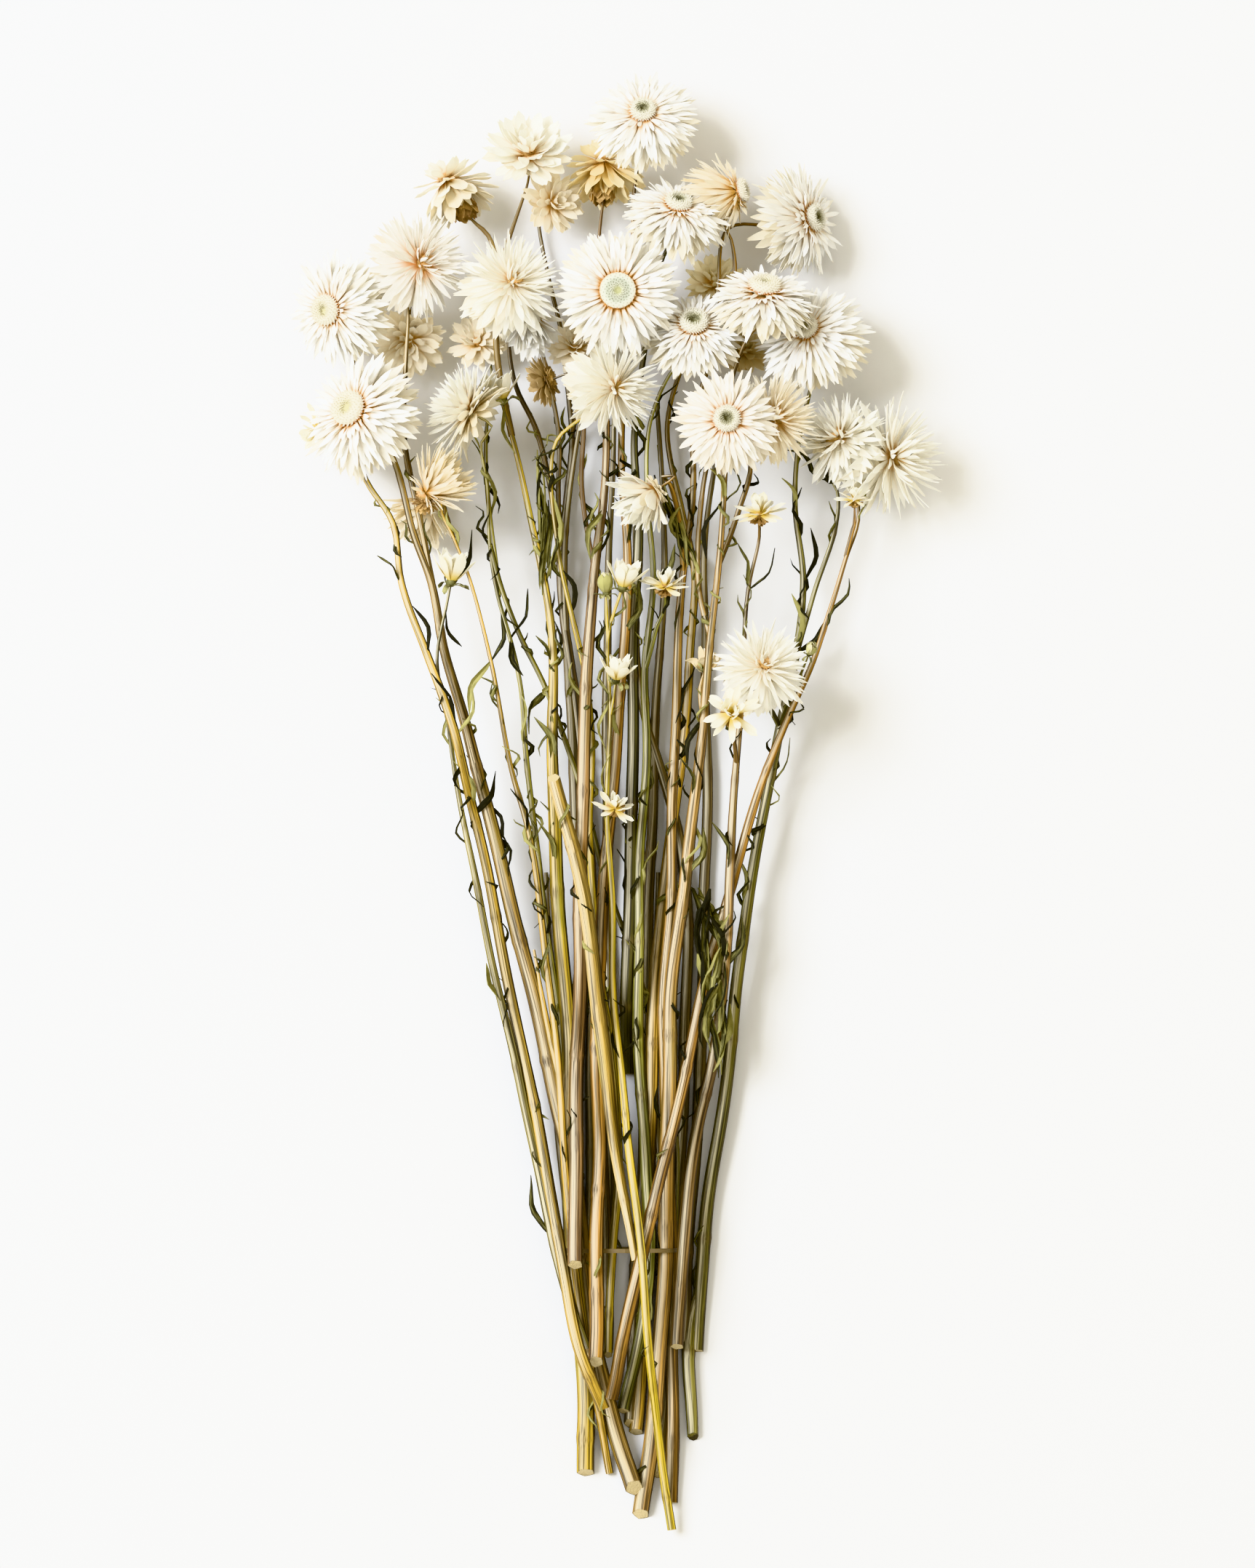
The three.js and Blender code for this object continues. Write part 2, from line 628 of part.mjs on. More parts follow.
addStem("stem_left_stout", 0x9b6f47, {
  width: [5, 3.6],
  route: [[87.2, 204.8], [84.4, 196], [81.6, 185], [80.3, 174], [78.5, 160], [76.4, 150], [73.4, 137],
    [70.4, 125], [66.8, 110], [64.2, 100], [61.1, 90], [59.5, 80.2, 27], [56.8, 73], [54.4, 64]],
  head: "bloom_19",
  twigs: [
    { route: [[59.5, 80.2], [57.6, 71, 29.5], [55.8, 61, 29], [55.8, 50, 32], [56, 42, 31]],
      width: [2.2, 1.6], head: "bloom_09" },
    { on: 1, route: [[56, 42], [56.6, 39.4, 20], [56.4, 40.6, 11]], width: [1.5, 1.4],
      head: "bloom_13" },
  ],
});

addStem("stem_yellow_stout", 0xb9964e, {
  width: [4.8, 3.2],
  route: [[80.5, 202.8], [80.5, 192], [79.6, 180], [78.6, 170], [78.1, 160], [78.4, 146], [77.4, 133],
    [76.5, 120], [76.1, 105], [76, 91], [74.9, 80], [72.7, 70], [70.4, 60], [69.2, 55.6]],
  end: 26,
  bud: 4.2,
  twigs: [
    { route: [[70.4, 60], [68.2, 48, 27], [68.8, 38, 26]], width: [2.2, 1.6], head: "bloom_02" },
    { on: 1, route: [[68.8, 38], [67.2, 32.4]], width: [1.5, 1.4], head: "bloom_03" },
  ],
  leaves: [
    { from: [69.2, 55.6], tip: [70.8, 62.5], rise: 4 },
    { from: [74.9, 80], tip: [75.4, 66], rise: 8, width: 2.4 },
    { from: [76, 91], tip: [73.7, 87.4], rise: 5 },
    { from: [76.1, 105], tip: [73.4, 98.6], rise: 5, width: 3 },
    { from: [76.5, 120], tip: [73.8, 112.6], rise: 9, width: 2.8 },
  ],
});

addStem("stem_thin_straw", 0xa98c55, {
  width: [2.4, 1.8],
  route: [[83.8, 203], [81.5, 190], [79.6, 178], [78, 165], [77.1, 150], [75.5, 135], [72.8, 115],
    [70.3, 105], [67.4, 91], [64.8, 80], [62.4, 74]],
  head: "bloom_29",
  twigs: [
    { route: [[62.4, 74], [60.6, 68]], width: [1.6, 1.5], head: "bloom_30" },
    { route: [[77.1, 150], [75.2, 140], [73.4, 130.6]], width: [2.2, 2], end: 20 },
  ],
  leaves: [
    { from: [67.4, 91], tip: [68.9, 84.4], rise: 5, width: 2.4 },
    { from: [67.4, 91], tip: [64.6, 98.4], rise: 4 },
    { from: [72.8, 115], tip: [70.2, 108.4], rise: 4, width: 2.4 },
  ],
});

// ---- The tie ----

// The band follows the hull of the stems that it holds, seen along Y.
function hullOutline(circles, away) {
  const corners = [];
  const side = (i) => {
    const angle = (2 * Math.PI * i) / TIE_SIDES;
    const normal = new THREE.Vector2(Math.cos(angle), Math.sin(angle));
    const reach = Math.max(...circles.map(({ at, radius }) => at.dot(normal) + radius));
    return { normal, reach: reach + away };
  };
  for (let i = 0; i < TIE_SIDES; i++) {
    const one = side(i);
    const next = side(i + 1);
    const cross = one.normal.cross(next.normal);
    corners.push(
      new THREE.Vector2(
        (one.reach * next.normal.y - next.reach * one.normal.y) / cross,
        (next.reach * one.normal.x - one.reach * next.normal.x) / cross,
      ),
    );
  }
  return corners;
}

const tieY = place([MIDDLE_COLUMN, TIE_ROW]).y;
const held = laid
  .slice(1)
  .filter(({ a, b }) => (a.y - tieY) * (b.y - tieY) <= 0 && a.y !== b.y)
  .map(({ a, b, radius }) => {
    const t = (tieY - a.y) / (b.y - a.y);
    const at = new THREE.Vector2(
      THREE.MathUtils.lerp(a.x, b.x, t),
      THREE.MathUtils.lerp(a.z, b.z, t),
    );
    return { at, radius };
  });
const inner = hullOutline(held, SEAT_GAP);
const outer = hullOutline(held, SEAT_GAP + TIE_THICKNESS);
const bandShape = new THREE.Shape(outer);
bandShape.holes.push(new THREE.Path(inner));
const band = new THREE.ExtrudeGeometry(bandShape, { depth: TIE_WIDTH, bevelEnabled: false });
band.rotateX(Math.PI / 2);
band.translate(0, tieY + TIE_WIDTH / 2, 0);
addMesh("tie", geometryOf(solidOf(band)), dryFinish(BAND_PALE, 0.6));

const topOfBand = outer
  .slice(0, TIE_SIDES / 2)
  .map((corner) => new THREE.Vector3(corner.x, tieY, corner.y - TIE_WIDTH));
addLaid(topOfBand, topOfBand.map(() => TIE_WIDTH));

// Stems that lie over the tie.

addStem("stem_left_under", 0xb39a5f, {
  width: [3, 1.8],
  route: [[80.8, 185.7], [78, 178], [75.8, 170], [73.9, 160], [71.6, 150], [69, 138], [66.4, 126],
    [63.6, 112], [61.6, 99.6], [60.2, 91], [61.4, 84], [62, 80.6]],
  end: 36,
  bud: 4.4,
  leaves: [
    { from: [62, 80.6], tip: [65, 73], rise: 5 },
    { from: [61.4, 84], tip: [63.6, 89], rise: 3, width: 2.4 },
    { from: [69, 138], tip: [66.8, 132.4], rise: 4, width: 3, bow: -0.16 },
    { from: [75.8, 170], tip: [72.9, 161.6], rise: 2, width: 2.4, bow: -0.16 },
  ],
});

addStem("stem_cut_short", 0xa67a4e, {
  width: [3.6, 3.2],
  route: [[87.3, 173.3], [85.6, 164], [83.9, 153], [82.4, 141], [81.2, 129], [79.2, 118.6],
    [76.1, 107]],
  end: 38,
});

addStem("stem_orange_tan", 0xa9784a, {
  width: [4.6, 2],
  route: [[81.9, 187.2], [82.1, 172], [82.4, 158], [82.1, 144], [82.6, 130], [83.8, 113], [85, 100],
    [86, 87], [86.2, 75], [85.4, 63], [85.8, 50], [86.8, 36], [87.2, 25.4]],
  head: "bloom_01",
  leaves: [
    { from: [86.2, 75], tip: [84.5, 68.6], rise: 5 },
    { from: [86, 87], tip: [87.6, 80], rise: 8, width: 2.8 },
  ],
});

addStem("stem_olive_right", 0x8a7a43, {
  width: [4.4, 2.2],
  route: [[95.8, 186], [96.4, 176], [97.4, 166], [99, 155], [100.6, 143], [101.7, 133], [103, 123],
    [105.2, 111], [107.2, 100], [109.7, 89.5], [110.4, 80], [109.3, 70], [110, 60.2]],
  head: "bloom_17",
  twigs: [
    { route: [[109.7, 89.5], [112, 81], [115, 72.4], [115.2, 67.4]], width: [1.8, 1.6],
      head: "bloom_26" },
    { route: [[107.2, 100], [105.4, 96.6]], width: [2, 1.8], head: "bloom_36" },
    { route: [[107.2, 100], [109.7, 93.4], [111, 90.2]], width: [1.6, 1.4], end: 42, bud: 3 },
    { route: [[96.4, 176], [94.7, 186], [95.3, 197.8]], width: [2.6, 2.6], end: 2.2 },
  ],
  leaves: [
    { from: [109.7, 89.5], tip: [108.8, 81.6], rise: 6 },
    { from: [110.4, 80], tip: [111.4, 72.6], rise: 4, width: 2.4 },
    { from: [109.3, 70], tip: [107.4, 65.8], rise: 4, width: 2.4 },
    { from: [109.7, 89.5], tip: [113.2, 85.6], rise: 3 },
  ],
});

addStem("stem_orange_right", 0xa9774a, {
  width: [4.2, 2],
  route: [[84.1, 192.5], [86.6, 180], [89.3, 168], [92.5, 155], [95.3, 142.6], [98.2, 130],
    [101.6, 118], [105, 107], [108.4, 98.4, 28], [111.8, 91, 30], [114.2, 83.4, 28], [116.2, 76.6],
    [118, 71.6]],
  head: "bloom_27",
  twigs: [{ route: [[116.2, 76.6], [117.2, 73]], width: [1.5, 1.4], head: "star_28" }],
});

addStem("stem_mauve_right", 0x8f7258, {
  width: [4.2, 2],
  route: [[93.1, 185.3], [94.1, 170], [96, 155], [98.1, 145], [99.8, 133], [100.3, 120],
    [101.2, 105], [102.2, 92], [102.9, 81]],
  head: "star_32",
  twigs: [{ route: [[101.2, 105], [101.1, 102.4]], width: [1.6, 1.5], head: "star_37" }],
  leaves: [
    { from: [102.9, 81], tip: [101.4, 74.8], rise: 4, width: 2.4 },
    { from: [102.9, 81], tip: [106.4, 75.4], rise: 6 },
    { from: [98.1, 145], tip: [100.4, 138], rise: 5, width: 2.8 },
    { from: [99.8, 133], tip: [97.2, 125.6], rise: 6 },
    { from: [99.8, 133], tip: [101.9, 126], rise: 4, width: 2.4 },
    { from: [100.3, 120], tip: [97.8, 113], rise: 5, width: 2.8 },
  ],
});

addStem("stem_left_pale", 0xc9b47c, {
  width: [4.2, 2.4],
  route: [[83, 193.8], [79.8, 186], [77.7, 175], [75.7, 165], [73.7, 153], [71, 141], [68, 125],
    [65.2, 112], [62.7, 101], [58.7, 90], [55.2, 80], [54, 72, 24], [50.4, 66, 16],
    [47.6, 57.5, 13], [48.4, 50, 16]],
  head: "bloom_12",
  twigs: [{ route: [[50.4, 66], [47, 62.6]], width: [1.5, 1.4], head: "star_20" }],
  leaves: [
    { from: [55.2, 80], tip: [51.9, 76.4], rise: 4 },
    { from: [58.7, 90], tip: [56.8, 83.4], rise: 5 },
    { from: [62.7, 101], tip: [59.4, 92.6], rise: 4, width: 2.8 },
    { from: [62.7, 101], tip: [64.8, 94], rise: 5 },
    { from: [65.2, 112], tip: [62.2, 104.6], rise: 9 },
    { from: [65.2, 112], tip: [68.2, 106], rise: 5, width: 3 },
  ],
});

addStem("stem_mauve_stout", 0x8d6f55, {
  width: [4.6, 3.2],
  route: [[79.1, 173.8], [79.2, 160], [79.4, 146], [79.8, 132], [79.9, 118], [80.4, 102], [80.8, 90],
    [81.8, 79], [82.9, 70, 25], [83.3, 60, 21], [83.6, 50, 23]],
  head: "bloom_11",
  twigs: [
    { route: [[81.8, 79, 24], [79.9, 67, 20], [80.4, 57, 15]], width: [1.8, 1.6], head: "bloom_46" },
    { route: [[83.3, 60], [82.5, 46, 16], [82.4, 33, 12]], width: [1.9, 1.6], head: "bloom_04" },
  ],
  leaves: [
    { from: [82.9, 70], tip: [81.2, 77], rise: 6 },
  ],
});

addStem("stem_front_pale", 0xc2a860, {
  width: [4.6, 1.9],
  route: [[92.4, 210.7], [90.7, 199], [89.2, 184], [87.6, 167], [85.8, 151], [84.4, 138], [84.2, 125],
    [83.6, 113], [83.8, 99], [83.6, 88], [85.4, 81.4]],
  end: 40,
  bud: 4,
  twigs: [
    { route: [[83.6, 88], [83.3, 82]], width: [1.5, 1.4], end: 40, bud: 4 },
    { route: [[83.8, 99], [84.6, 94]], width: [1.5, 1.4], end: 38, bud: 3.6 },
    { route: [[83.6, 113], [84.2, 112]], width: [1.5, 1.4], head: "star_39" },
  ],
});

export default group;
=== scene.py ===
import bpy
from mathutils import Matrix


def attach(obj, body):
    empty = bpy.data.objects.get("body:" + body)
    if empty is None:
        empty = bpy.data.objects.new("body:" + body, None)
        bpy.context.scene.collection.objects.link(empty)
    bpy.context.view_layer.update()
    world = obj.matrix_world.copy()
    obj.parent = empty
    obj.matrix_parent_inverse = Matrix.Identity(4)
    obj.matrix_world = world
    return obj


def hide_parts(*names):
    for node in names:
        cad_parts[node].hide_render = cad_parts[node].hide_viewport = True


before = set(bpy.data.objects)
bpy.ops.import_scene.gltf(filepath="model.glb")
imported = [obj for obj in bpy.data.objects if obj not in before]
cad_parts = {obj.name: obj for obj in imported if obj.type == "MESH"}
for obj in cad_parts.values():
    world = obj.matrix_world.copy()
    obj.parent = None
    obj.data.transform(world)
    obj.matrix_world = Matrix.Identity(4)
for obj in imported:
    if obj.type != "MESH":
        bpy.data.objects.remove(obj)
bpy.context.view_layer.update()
# %% [markdown]
# ## Numbers first
# A dried flower is hundreds of small shapes that are alike and never the same, so each petal is
# one simple strip that draws its own length, turn and curl. A seeded draw gives the same bunch
# on every run. Lengths are written in millimetres, as on a maker's drawing, and turned into
# metres where a mesh is made.
# %% Lengths, turns and seeded draws
import math
import random

import bmesh
import bpy
from mathutils import Matrix, Vector

MM = 0.001


def turned(degrees):
    return math.radians(degrees)


def facing_of(turn, lift):
    """The way a head looks: turn seen from above, lift above the table."""
    flat = math.cos(turned(lift))
    return Vector((flat * math.cos(turned(turn)), flat * math.sin(turned(turn)), math.sin(turned(lift))))


def between(steps, share):
    """The height at share on a line drawn through (share, height) steps."""
    for (a, low), (b, high) in zip(steps, steps[1:]):
        if share <= b:
            return low + (high - low) * (share - a) / (b - a)
    return steps[-1][1]


print("a head that looks straight up faces", facing_of(0, 90)[:])
# %% [markdown]
# ## One way to finish a piece
# Each piece is built in a bmesh, an open mesh that the operators change, and then becomes an
# object that stays at the origin. Smooth shading hides the few faces of a petal. The edges where
# its two sides meet its thin rim turn sharply, so they are marked to stay crisp.
# %% From a bmesh to a piece of the bunch
CRISP = turned(50)
made = {}


def piece(name, bm, materials, slot, stands_for=None):
    for face in bm.faces:
        face.smooth = True
    for edge in bm.edges:
        if len(edge.link_faces) == 2 and edge.calc_face_angle(0) > CRISP:
            edge.smooth = False
    bm.verts.layers.float_vector.remove(bm.verts.layers.float_vector["up"])
    mesh = bpy.data.meshes.new(name)
    bm.to_mesh(mesh)
    bm.free()
    for material in materials:
        mesh.materials.append(material)
    thing = bpy.data.objects.new(name, mesh)
    bpy.context.scene.collection.objects.link(thing)
    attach(thing, "root")
    if stands_for:
        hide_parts(stands_for)
    made[name] = thing
    return thing


def start_mesh():
    """A bmesh with the marks that the finishes read, kept on its vertices, and a UV map."""
    bm = bmesh.new()
    bm.loops.layers.uv.new("UVMap")
    marks = {name: bm.verts.layers.float.new(name) for name in ("tone", "along", "warm")}
    marks["up"] = bm.verts.layers.float_vector.new("up")
    return bm, marks


print("edges that turn more than", round(math.degrees(CRISP)), "degrees stay crisp")
# %% [markdown]
# ## Shader maths as Python
# A finish is a recipe: a colour that changes along a petal, streaks along a stem, a little bump.
# Wiring its nodes one by one is slow to read. A small class wraps a socket, so that a mask is
# worked out with the usual signs. The other nodes come from one method of the finish, and the
# ones that every recipe uses get a short name of their own.
# %% Sockets that can be added and multiplied
class Worth:
    """A number or colour that comes out of a node."""

    def __init__(self, finish, socket):
        self.finish, self.socket = finish, socket

    def sum(self, operation, first, second):
        return self.finish.add("Math", {"operation": operation}, {0: first, 1: second})

    def __add__(self, other):
        return self.sum("ADD", self, other)

    def __sub__(self, other):
        return self.sum("SUBTRACT", self, other)

    def __rsub__(self, other):
        return self.sum("SUBTRACT", other, self)

    def __mul__(self, other):
        return self.sum("MULTIPLY", self, other)

    __radd__, __rmul__ = __add__, __mul__


print("sockets now take", [name for name in vars(Worth) if name.startswith("__r")])
# %% Colours
def paint(code):
    """A colour written as six hex digits, as light values."""
    parts = [int(code[i : i + 2], 16) / 255 for i in (0, 2, 4)]
    return tuple(c / 12.92 if c <= 0.04045 else ((c + 0.055) / 1.055) ** 2.4 for c in parts) + (1.0,)


print("ivory in light values", [round(v, 3) for v in paint("F7F3EA")])


# %% A finish and the one method that adds a node
class Finish:
    def __init__(self, name, **constants):
        self.material = bpy.data.materials.new(name)
        self.material.use_nodes = True
        self.nodes = self.material.node_tree.nodes
        self.shader = self.nodes["Principled BSDF"]
        self.set(self.shader, constants)

    def set(self, node, values):
        for key, value in values.items():
            socket = node.inputs[key.replace("_", " ") if isinstance(key, str) else key]
            if isinstance(value, Worth):
                self.material.node_tree.links.new(value.socket, socket)
            else:
                socket.default_value = value

    def add(self, kind, settings=None, values=None, out=0):
        node = self.nodes.new("ShaderNode" + kind)
        for key, value in (settings or {}).items():
            if key == "stops":
                ramp = node.color_ramp.elements
                while len(ramp) < len(value):
                    ramp.new(1.0)
                for stop, (place, colour) in zip(ramp, value):
                    stop.position, stop.color = place, colour
            else:
                setattr(node, key, value)
        self.set(node, values or {})
        return Worth(self, node.outputs[out])

    def mark(self, name):
        return self.add("Attribute", {"attribute_name": name}, out="Fac")

    def mixed(self, share, a, b):
        settings = {"data_type": "RGBA", "clamp_factor": True}
        return self.add("Mix", settings, {0: share, 6: a, 7: b}, out=2)

    def smooth(self, value, low, high):
        ends = {"Value": value, "From_Min": low, "From_Max": high}
        return self.add("MapRange", {"interpolation_type": "SMOOTHSTEP"}, ends)

    def noise(self, where, scale, detail=3.0, roughness=0.55):
        values = {"Vector": where, "Scale": scale, "Detail": detail, "Roughness": roughness}
        return self.add("TexNoise", {}, values)

    def stretched(self, where, scale):
        return self.add("Mapping", {"vector_type": "POINT"}, {"Vector": where, "Scale": scale})

    def place(self):
        return self.add("TexCoord", out="Object")

    def strip(self):
        """The flat sheet that a petal or a leaf was before it was bent."""
        return self.add("UVMap", {"uv_map": "UVMap"})

    def bump(self, height, strength, distance):
        values = {"Height": height, "Strength": strength, "Distance": distance}
        self.set(self.shader, {"Normal": self.add("Bump", {}, values)})

    def let_through(self, colour, share):
        """Part of the light goes through a thin sheet and comes out on its far side."""
        tree = self.material.node_tree
        through = self.add("BsdfTranslucent", {}, {"Color": colour})
        both = self.add("MixShader", {}, {0: share, 1: Worth(self, self.shader.outputs[0]), 2: through})
        tree.links.new(both.socket, self.nodes["Material Output"].inputs["Surface"])


print("a finish can add", [name for name in vars(Finish) if not name.startswith("_")])
# %% [markdown]
# ## The finish of a dried petal
# A strawflower's petals are stiff, papery bracts: ivory white, with fine lengthwise veins, a
# yellower root where they meet the disc, and a beige cast on the outer ones, partly their age and
# partly shade painted on the low outer whorls that lie under the others. An image of a petal would
# look the same on all of them, so three marks drive the colour instead: along runs from root to
# tip, tone is the petal's own draw, and warm says how aged it is, with that painted shade in it.
# %% Papery petals in white, cream and yellow
# Light passes through a petal, so shaded ones glow warm.
GLOW = (1.0, 0.96, 0.84, 1.0)
VEINS = (9.0, 0.7, 1.0)


def petal_finish(name, light, aged, cream, root, foot_reach=0.24, edge_shade_colour="E0B874", glow=0.2):
    finish = Finish(name, Roughness=0.62, Specular_IOR_Level=0.25)
    along, tone, warm = (finish.mark(mark) for mark in ("along", "tone", "warm"))
    strip = finish.strip()
    veins = finish.noise(finish.stretched(strip, VEINS), 2.2, 2.0)
    streak = finish.smooth(veins, 0.35, 0.7)
    # warm: the petal's age, and shade painted on the low outer whorls.
    age = finish.smooth(warm + (tone - 0.5) * 0.5 + (streak - 0.5) * 0.3, 0.0, 1.0)
    colour = finish.mixed(age, paint(light), paint(aged))
    lower = 1 - finish.smooth(along + (tone - 0.5) * 0.2, 0.05, 0.5)
    colour = finish.mixed(lower * 0.7, colour, paint(cream))
    foot = 1 - finish.smooth(along + (tone - 0.5) * 0.1, 0.04, foot_reach)
    colour = finish.mixed(foot * 0.9, colour, paint(root))
    # Shade painted along the two edges of each petal, strongest near the root, where its neighbours shade it.
    across = finish.add("SeparateXYZ", {}, {"Vector": strip}) - 0.5
    edge_shade_mask = finish.smooth(across * across * 4, 0.35, 1.0) * (1 - finish.smooth(along, 0.2, 0.85))
    colour = finish.mixed(edge_shade_mask * 0.55, colour, paint(edge_shade_colour))
    finish.set(finish.shader, {"Base_Color": colour})
    finish.bump(veins, 0.5, 0.0004)
    finish.let_through(GLOW, glow)
    return finish.material


PETALS = {
    "petal_white": petal_finish("petal_white", "FBFCFC", "F6EFDA", "F9EAC2", "DFA44A", 0.32),
    "fan": petal_finish("petal_fan", "FDFEFC", "FAF3DE", "FBF3DA", "F0C684", 0.2, "EED8AE", 0.34),
    "amber": petal_finish("petal_amber", "FDFCF8", "F8EDD4", "FAE6BC", "E8A658", 0.38),
    "gold": petal_finish("petal_gold", "FEF7DA", "F8E6B0", "F6DE98", "DEB25C", 0.5, "D8AE5C", 0.34),
    # A darker copy of the petals with shade painted in, for a low head that lies in shade under the others.
    "dusk": petal_finish("petal_dusk", "F0E3C0", "D8BE88", "E2CB96", "B08A4C", 0.4, glow=0.3),
    "brown": petal_finish("petal_brown", "BFA678", "8E7248", "7C5E38", "4A3420", 0.5),
    "petal_cream": petal_finish("petal_cream", "FCFCF6", "F6ECD0", "F6E8BE", "DEA850", 0.3),
    "petal_yellow": petal_finish("petal_yellow", "FFFAEC", "F9EAC2", "F8E4A8", "E2B254", 0.42, glow=0.34),
    "star": petal_finish("petal_star", "FEFDF2", "F8F0CC", "FAEEA8", "EED25A", 0.6, "D8BE6A"),
    "bud": petal_finish("petal_bud", "EFE8C4", "A8A468", "D2CC94", "A9A468", 0.5, "6C6A38"),
}
print("petal finishes", list(PETALS))
# %% [markdown]
# ## The collar round the disc
# The middle of an open head is a low ring of fine white hairs round a pale green hollow, with a
# thin orange line at its foot. Its mark along runs from that foot over the ring to the hollow.
# Some heads have a flat disc with no hollow, and closed ones only a tuft between their petals.
# The neck below and the outer scales of buds are straw brown in patches.
# %% Downy collar
def collar_finish(name, *rings):
    finish = Finish(name, Roughness=0.85, Specular_IOR_Level=0.15)
    along = finish.mark("along")
    grains = finish.noise(finish.place(), 1700.0, 2.0)
    stops = [(place, paint(code)) for place, code in rings]
    colour = finish.add("ValToRGB", {"stops": stops}, {"Fac": along + (grains - 0.5) * 0.12})
    finish.set(finish.shader, {"Base_Color": colour})
    finish.bump(grains, 0.6, 0.0005)
    return finish.material


FOOT = (0.0, "CC8C42"), (0.06, "CC8C42")
COLLARS = {
    "hollow": collar_finish(
        "collar_hollow", *FOOT, (0.17, "D6D2C4"), (0.5, "DCD9CC"), (0.66, "A8A486"), (0.84, "807C5C"),
    ),
    "flat": collar_finish(
        "collar_flat", (0.0, "A8702E"), (0.2, "AC7634"), (0.3, "D0CDBC"), (0.44, "C8C8BA"),
        (0.52, "A2A492"), (0.64, "AAAA98"), (0.72, "BABAA4"), (0.84, "999870"), (1.0, "A6A47C"),
    ),
    "soft": collar_finish(
        "collar_soft", *FOOT, (0.17, "E2DED0"), (0.6, "DAD5C4"), (0.8, "C6C09C"), (1.0, "BCB48A"),
    ),
    "tuft": collar_finish("collar_tuft", (0.0, "D8AC70"), (0.4, "E2BE86"), (1.0, "EEDCB4")),
}
print("collar finishes", list(COLLARS))


# %% Neck and scales
def neck_finish(name, light, dark):
    finish = Finish(name, Roughness=0.8)
    patches = finish.noise(finish.place(), 260.0, 3.0)
    colour = finish.mixed(finish.smooth(patches, 0.3, 0.7), paint(light), paint(dark))
    finish.set(finish.shader, {"Base_Color": colour})
    finish.bump(patches, 0.4, 0.0006)
    return finish.material


NECK = neck_finish("neck_scales", "C4A46A", "7A5C36")
SEPALS = neck_finish("bud_sepals", "A29E68", "4A4628")
print("neck and bud finishes", [material.name for material in (NECK, SEPALS)])
# %% [markdown]
# ## One petal
# A petal is a thin blade, narrow at its root, widest past its middle and pointed, folded a
# little along its mid-rib. It could be cut out of a flat sheet and bent by hand. Here a small grid
# of two by six squares is that sheet: each of its corners is carried to its place on the bent
# blade. Every petal of a head is laid this way before one extrude gives them all their thickness.
# A solidify would even out its walls, and a sharply folded tip then shoots out as a spike, so
# each corner is drawn out along an up of its own.
# %% A strip that becomes a petal
PETAL_ROWS = 6
LANCE = ((0, 0.45), (0.2, 0.7), (0.4, 0.92), (0.6, 1.0), (0.8, 0.82), (1, 0.2))
BLUNT = ((0, 0.36), (0.2, 0.56), (0.45, 0.86), (0.7, 1.0), (0.9, 0.84), (1, 0.3))
PAPER = 0.14


def lay_petal(bm, marks, home, angle, root, height, length, half, rise, curl, chance, aged, soft=1.0):
    """soft scales how much a petal twists, sways and ripples; a broad one gets a blunt tip."""
    grid = bmesh.ops.create_grid(bm, x_segments=2, y_segments=PETAL_ROWS, size=1, calc_uvs=True)
    out = Vector((math.cos(angle), math.sin(angle), 0))
    side = Vector((-math.sin(angle), math.cos(angle), 0))
    spine, lean = [(root, height)], turned(rise)
    for row in range(PETAL_ROWS):
        tilt = lean + turned(curl) * (row + 0.5) / PETAL_ROWS
        r, z = spine[-1]
        spine.append((r + length / PETAL_ROWS * math.cos(tilt), z + length / PETAL_ROWS * math.sin(tilt)))
    shape = BLUNT if half > 0.15 * length else LANCE
    fold, twist = chance.uniform(0.05, 0.4), soft * chance.gauss(0, turned(24))
    sway, wave = soft * length * chance.uniform(-0.08, 0.08), soft * chance.uniform(0.1, 0.5)
    start, notch = chance.uniform(0, 6), chance.choice((-0.12, 0.05, 0.1, 0.14)) * length / 2
    tone, warm = chance.random(), min(1.0, max(0.0, aged + chance.uniform(-0.15, 0.15)))
    for vert in grid["verts"]:
        across, along = vert.co.x, (vert.co.y + 1) / 2
        r, z = spine[round(along * PETAL_ROWS)]
        tilt = lean + turned(curl) * along
        up = Vector((0, 0, math.cos(tilt))) - out * math.sin(tilt)
        way = out * math.cos(tilt) + Vector((0, 0, math.sin(tilt)))
        wide = half * between(shape, along)
        roll = twist * along
        spot = out * r + Vector((0, 0, z)) + side * (across * wide * math.cos(roll) + sway * along**2)
        spot += up * (abs(across) * wide * fold + across * wide * math.sin(roll))
        spot += up * (wave * wide * math.sin(start + 6 * along + across))
        if along > 0.99 and across:
            spot -= way * notch
        vert.co = home @ (spot * MM)
        vert.co.z = max(vert.co.z, 0.3 * MM)
        vert[marks["tone"]], vert[marks["along"]], vert[marks["warm"]] = tone, along, warm
        vert[marks["up"]] = (home.to_3x3() @ (up * math.cos(roll) - side * math.sin(roll))) * MM


def thicken(bm, marks, thickness=PAPER):
    """Draws a second skin out of the first, each corner along its own up."""
    drawn = bmesh.ops.extrude_face_region(bm, geom=bm.faces[:], use_keep_orig=True)["geom"]
    for vert in drawn:
        if isinstance(vert, bmesh.types.BMVert):
            vert.co += vert[marks["up"]] * thickness
    bmesh.ops.recalc_face_normals(bm, faces=bm.faces[:])


print("a petal has", 2 * PETAL_ROWS, "squares a side")
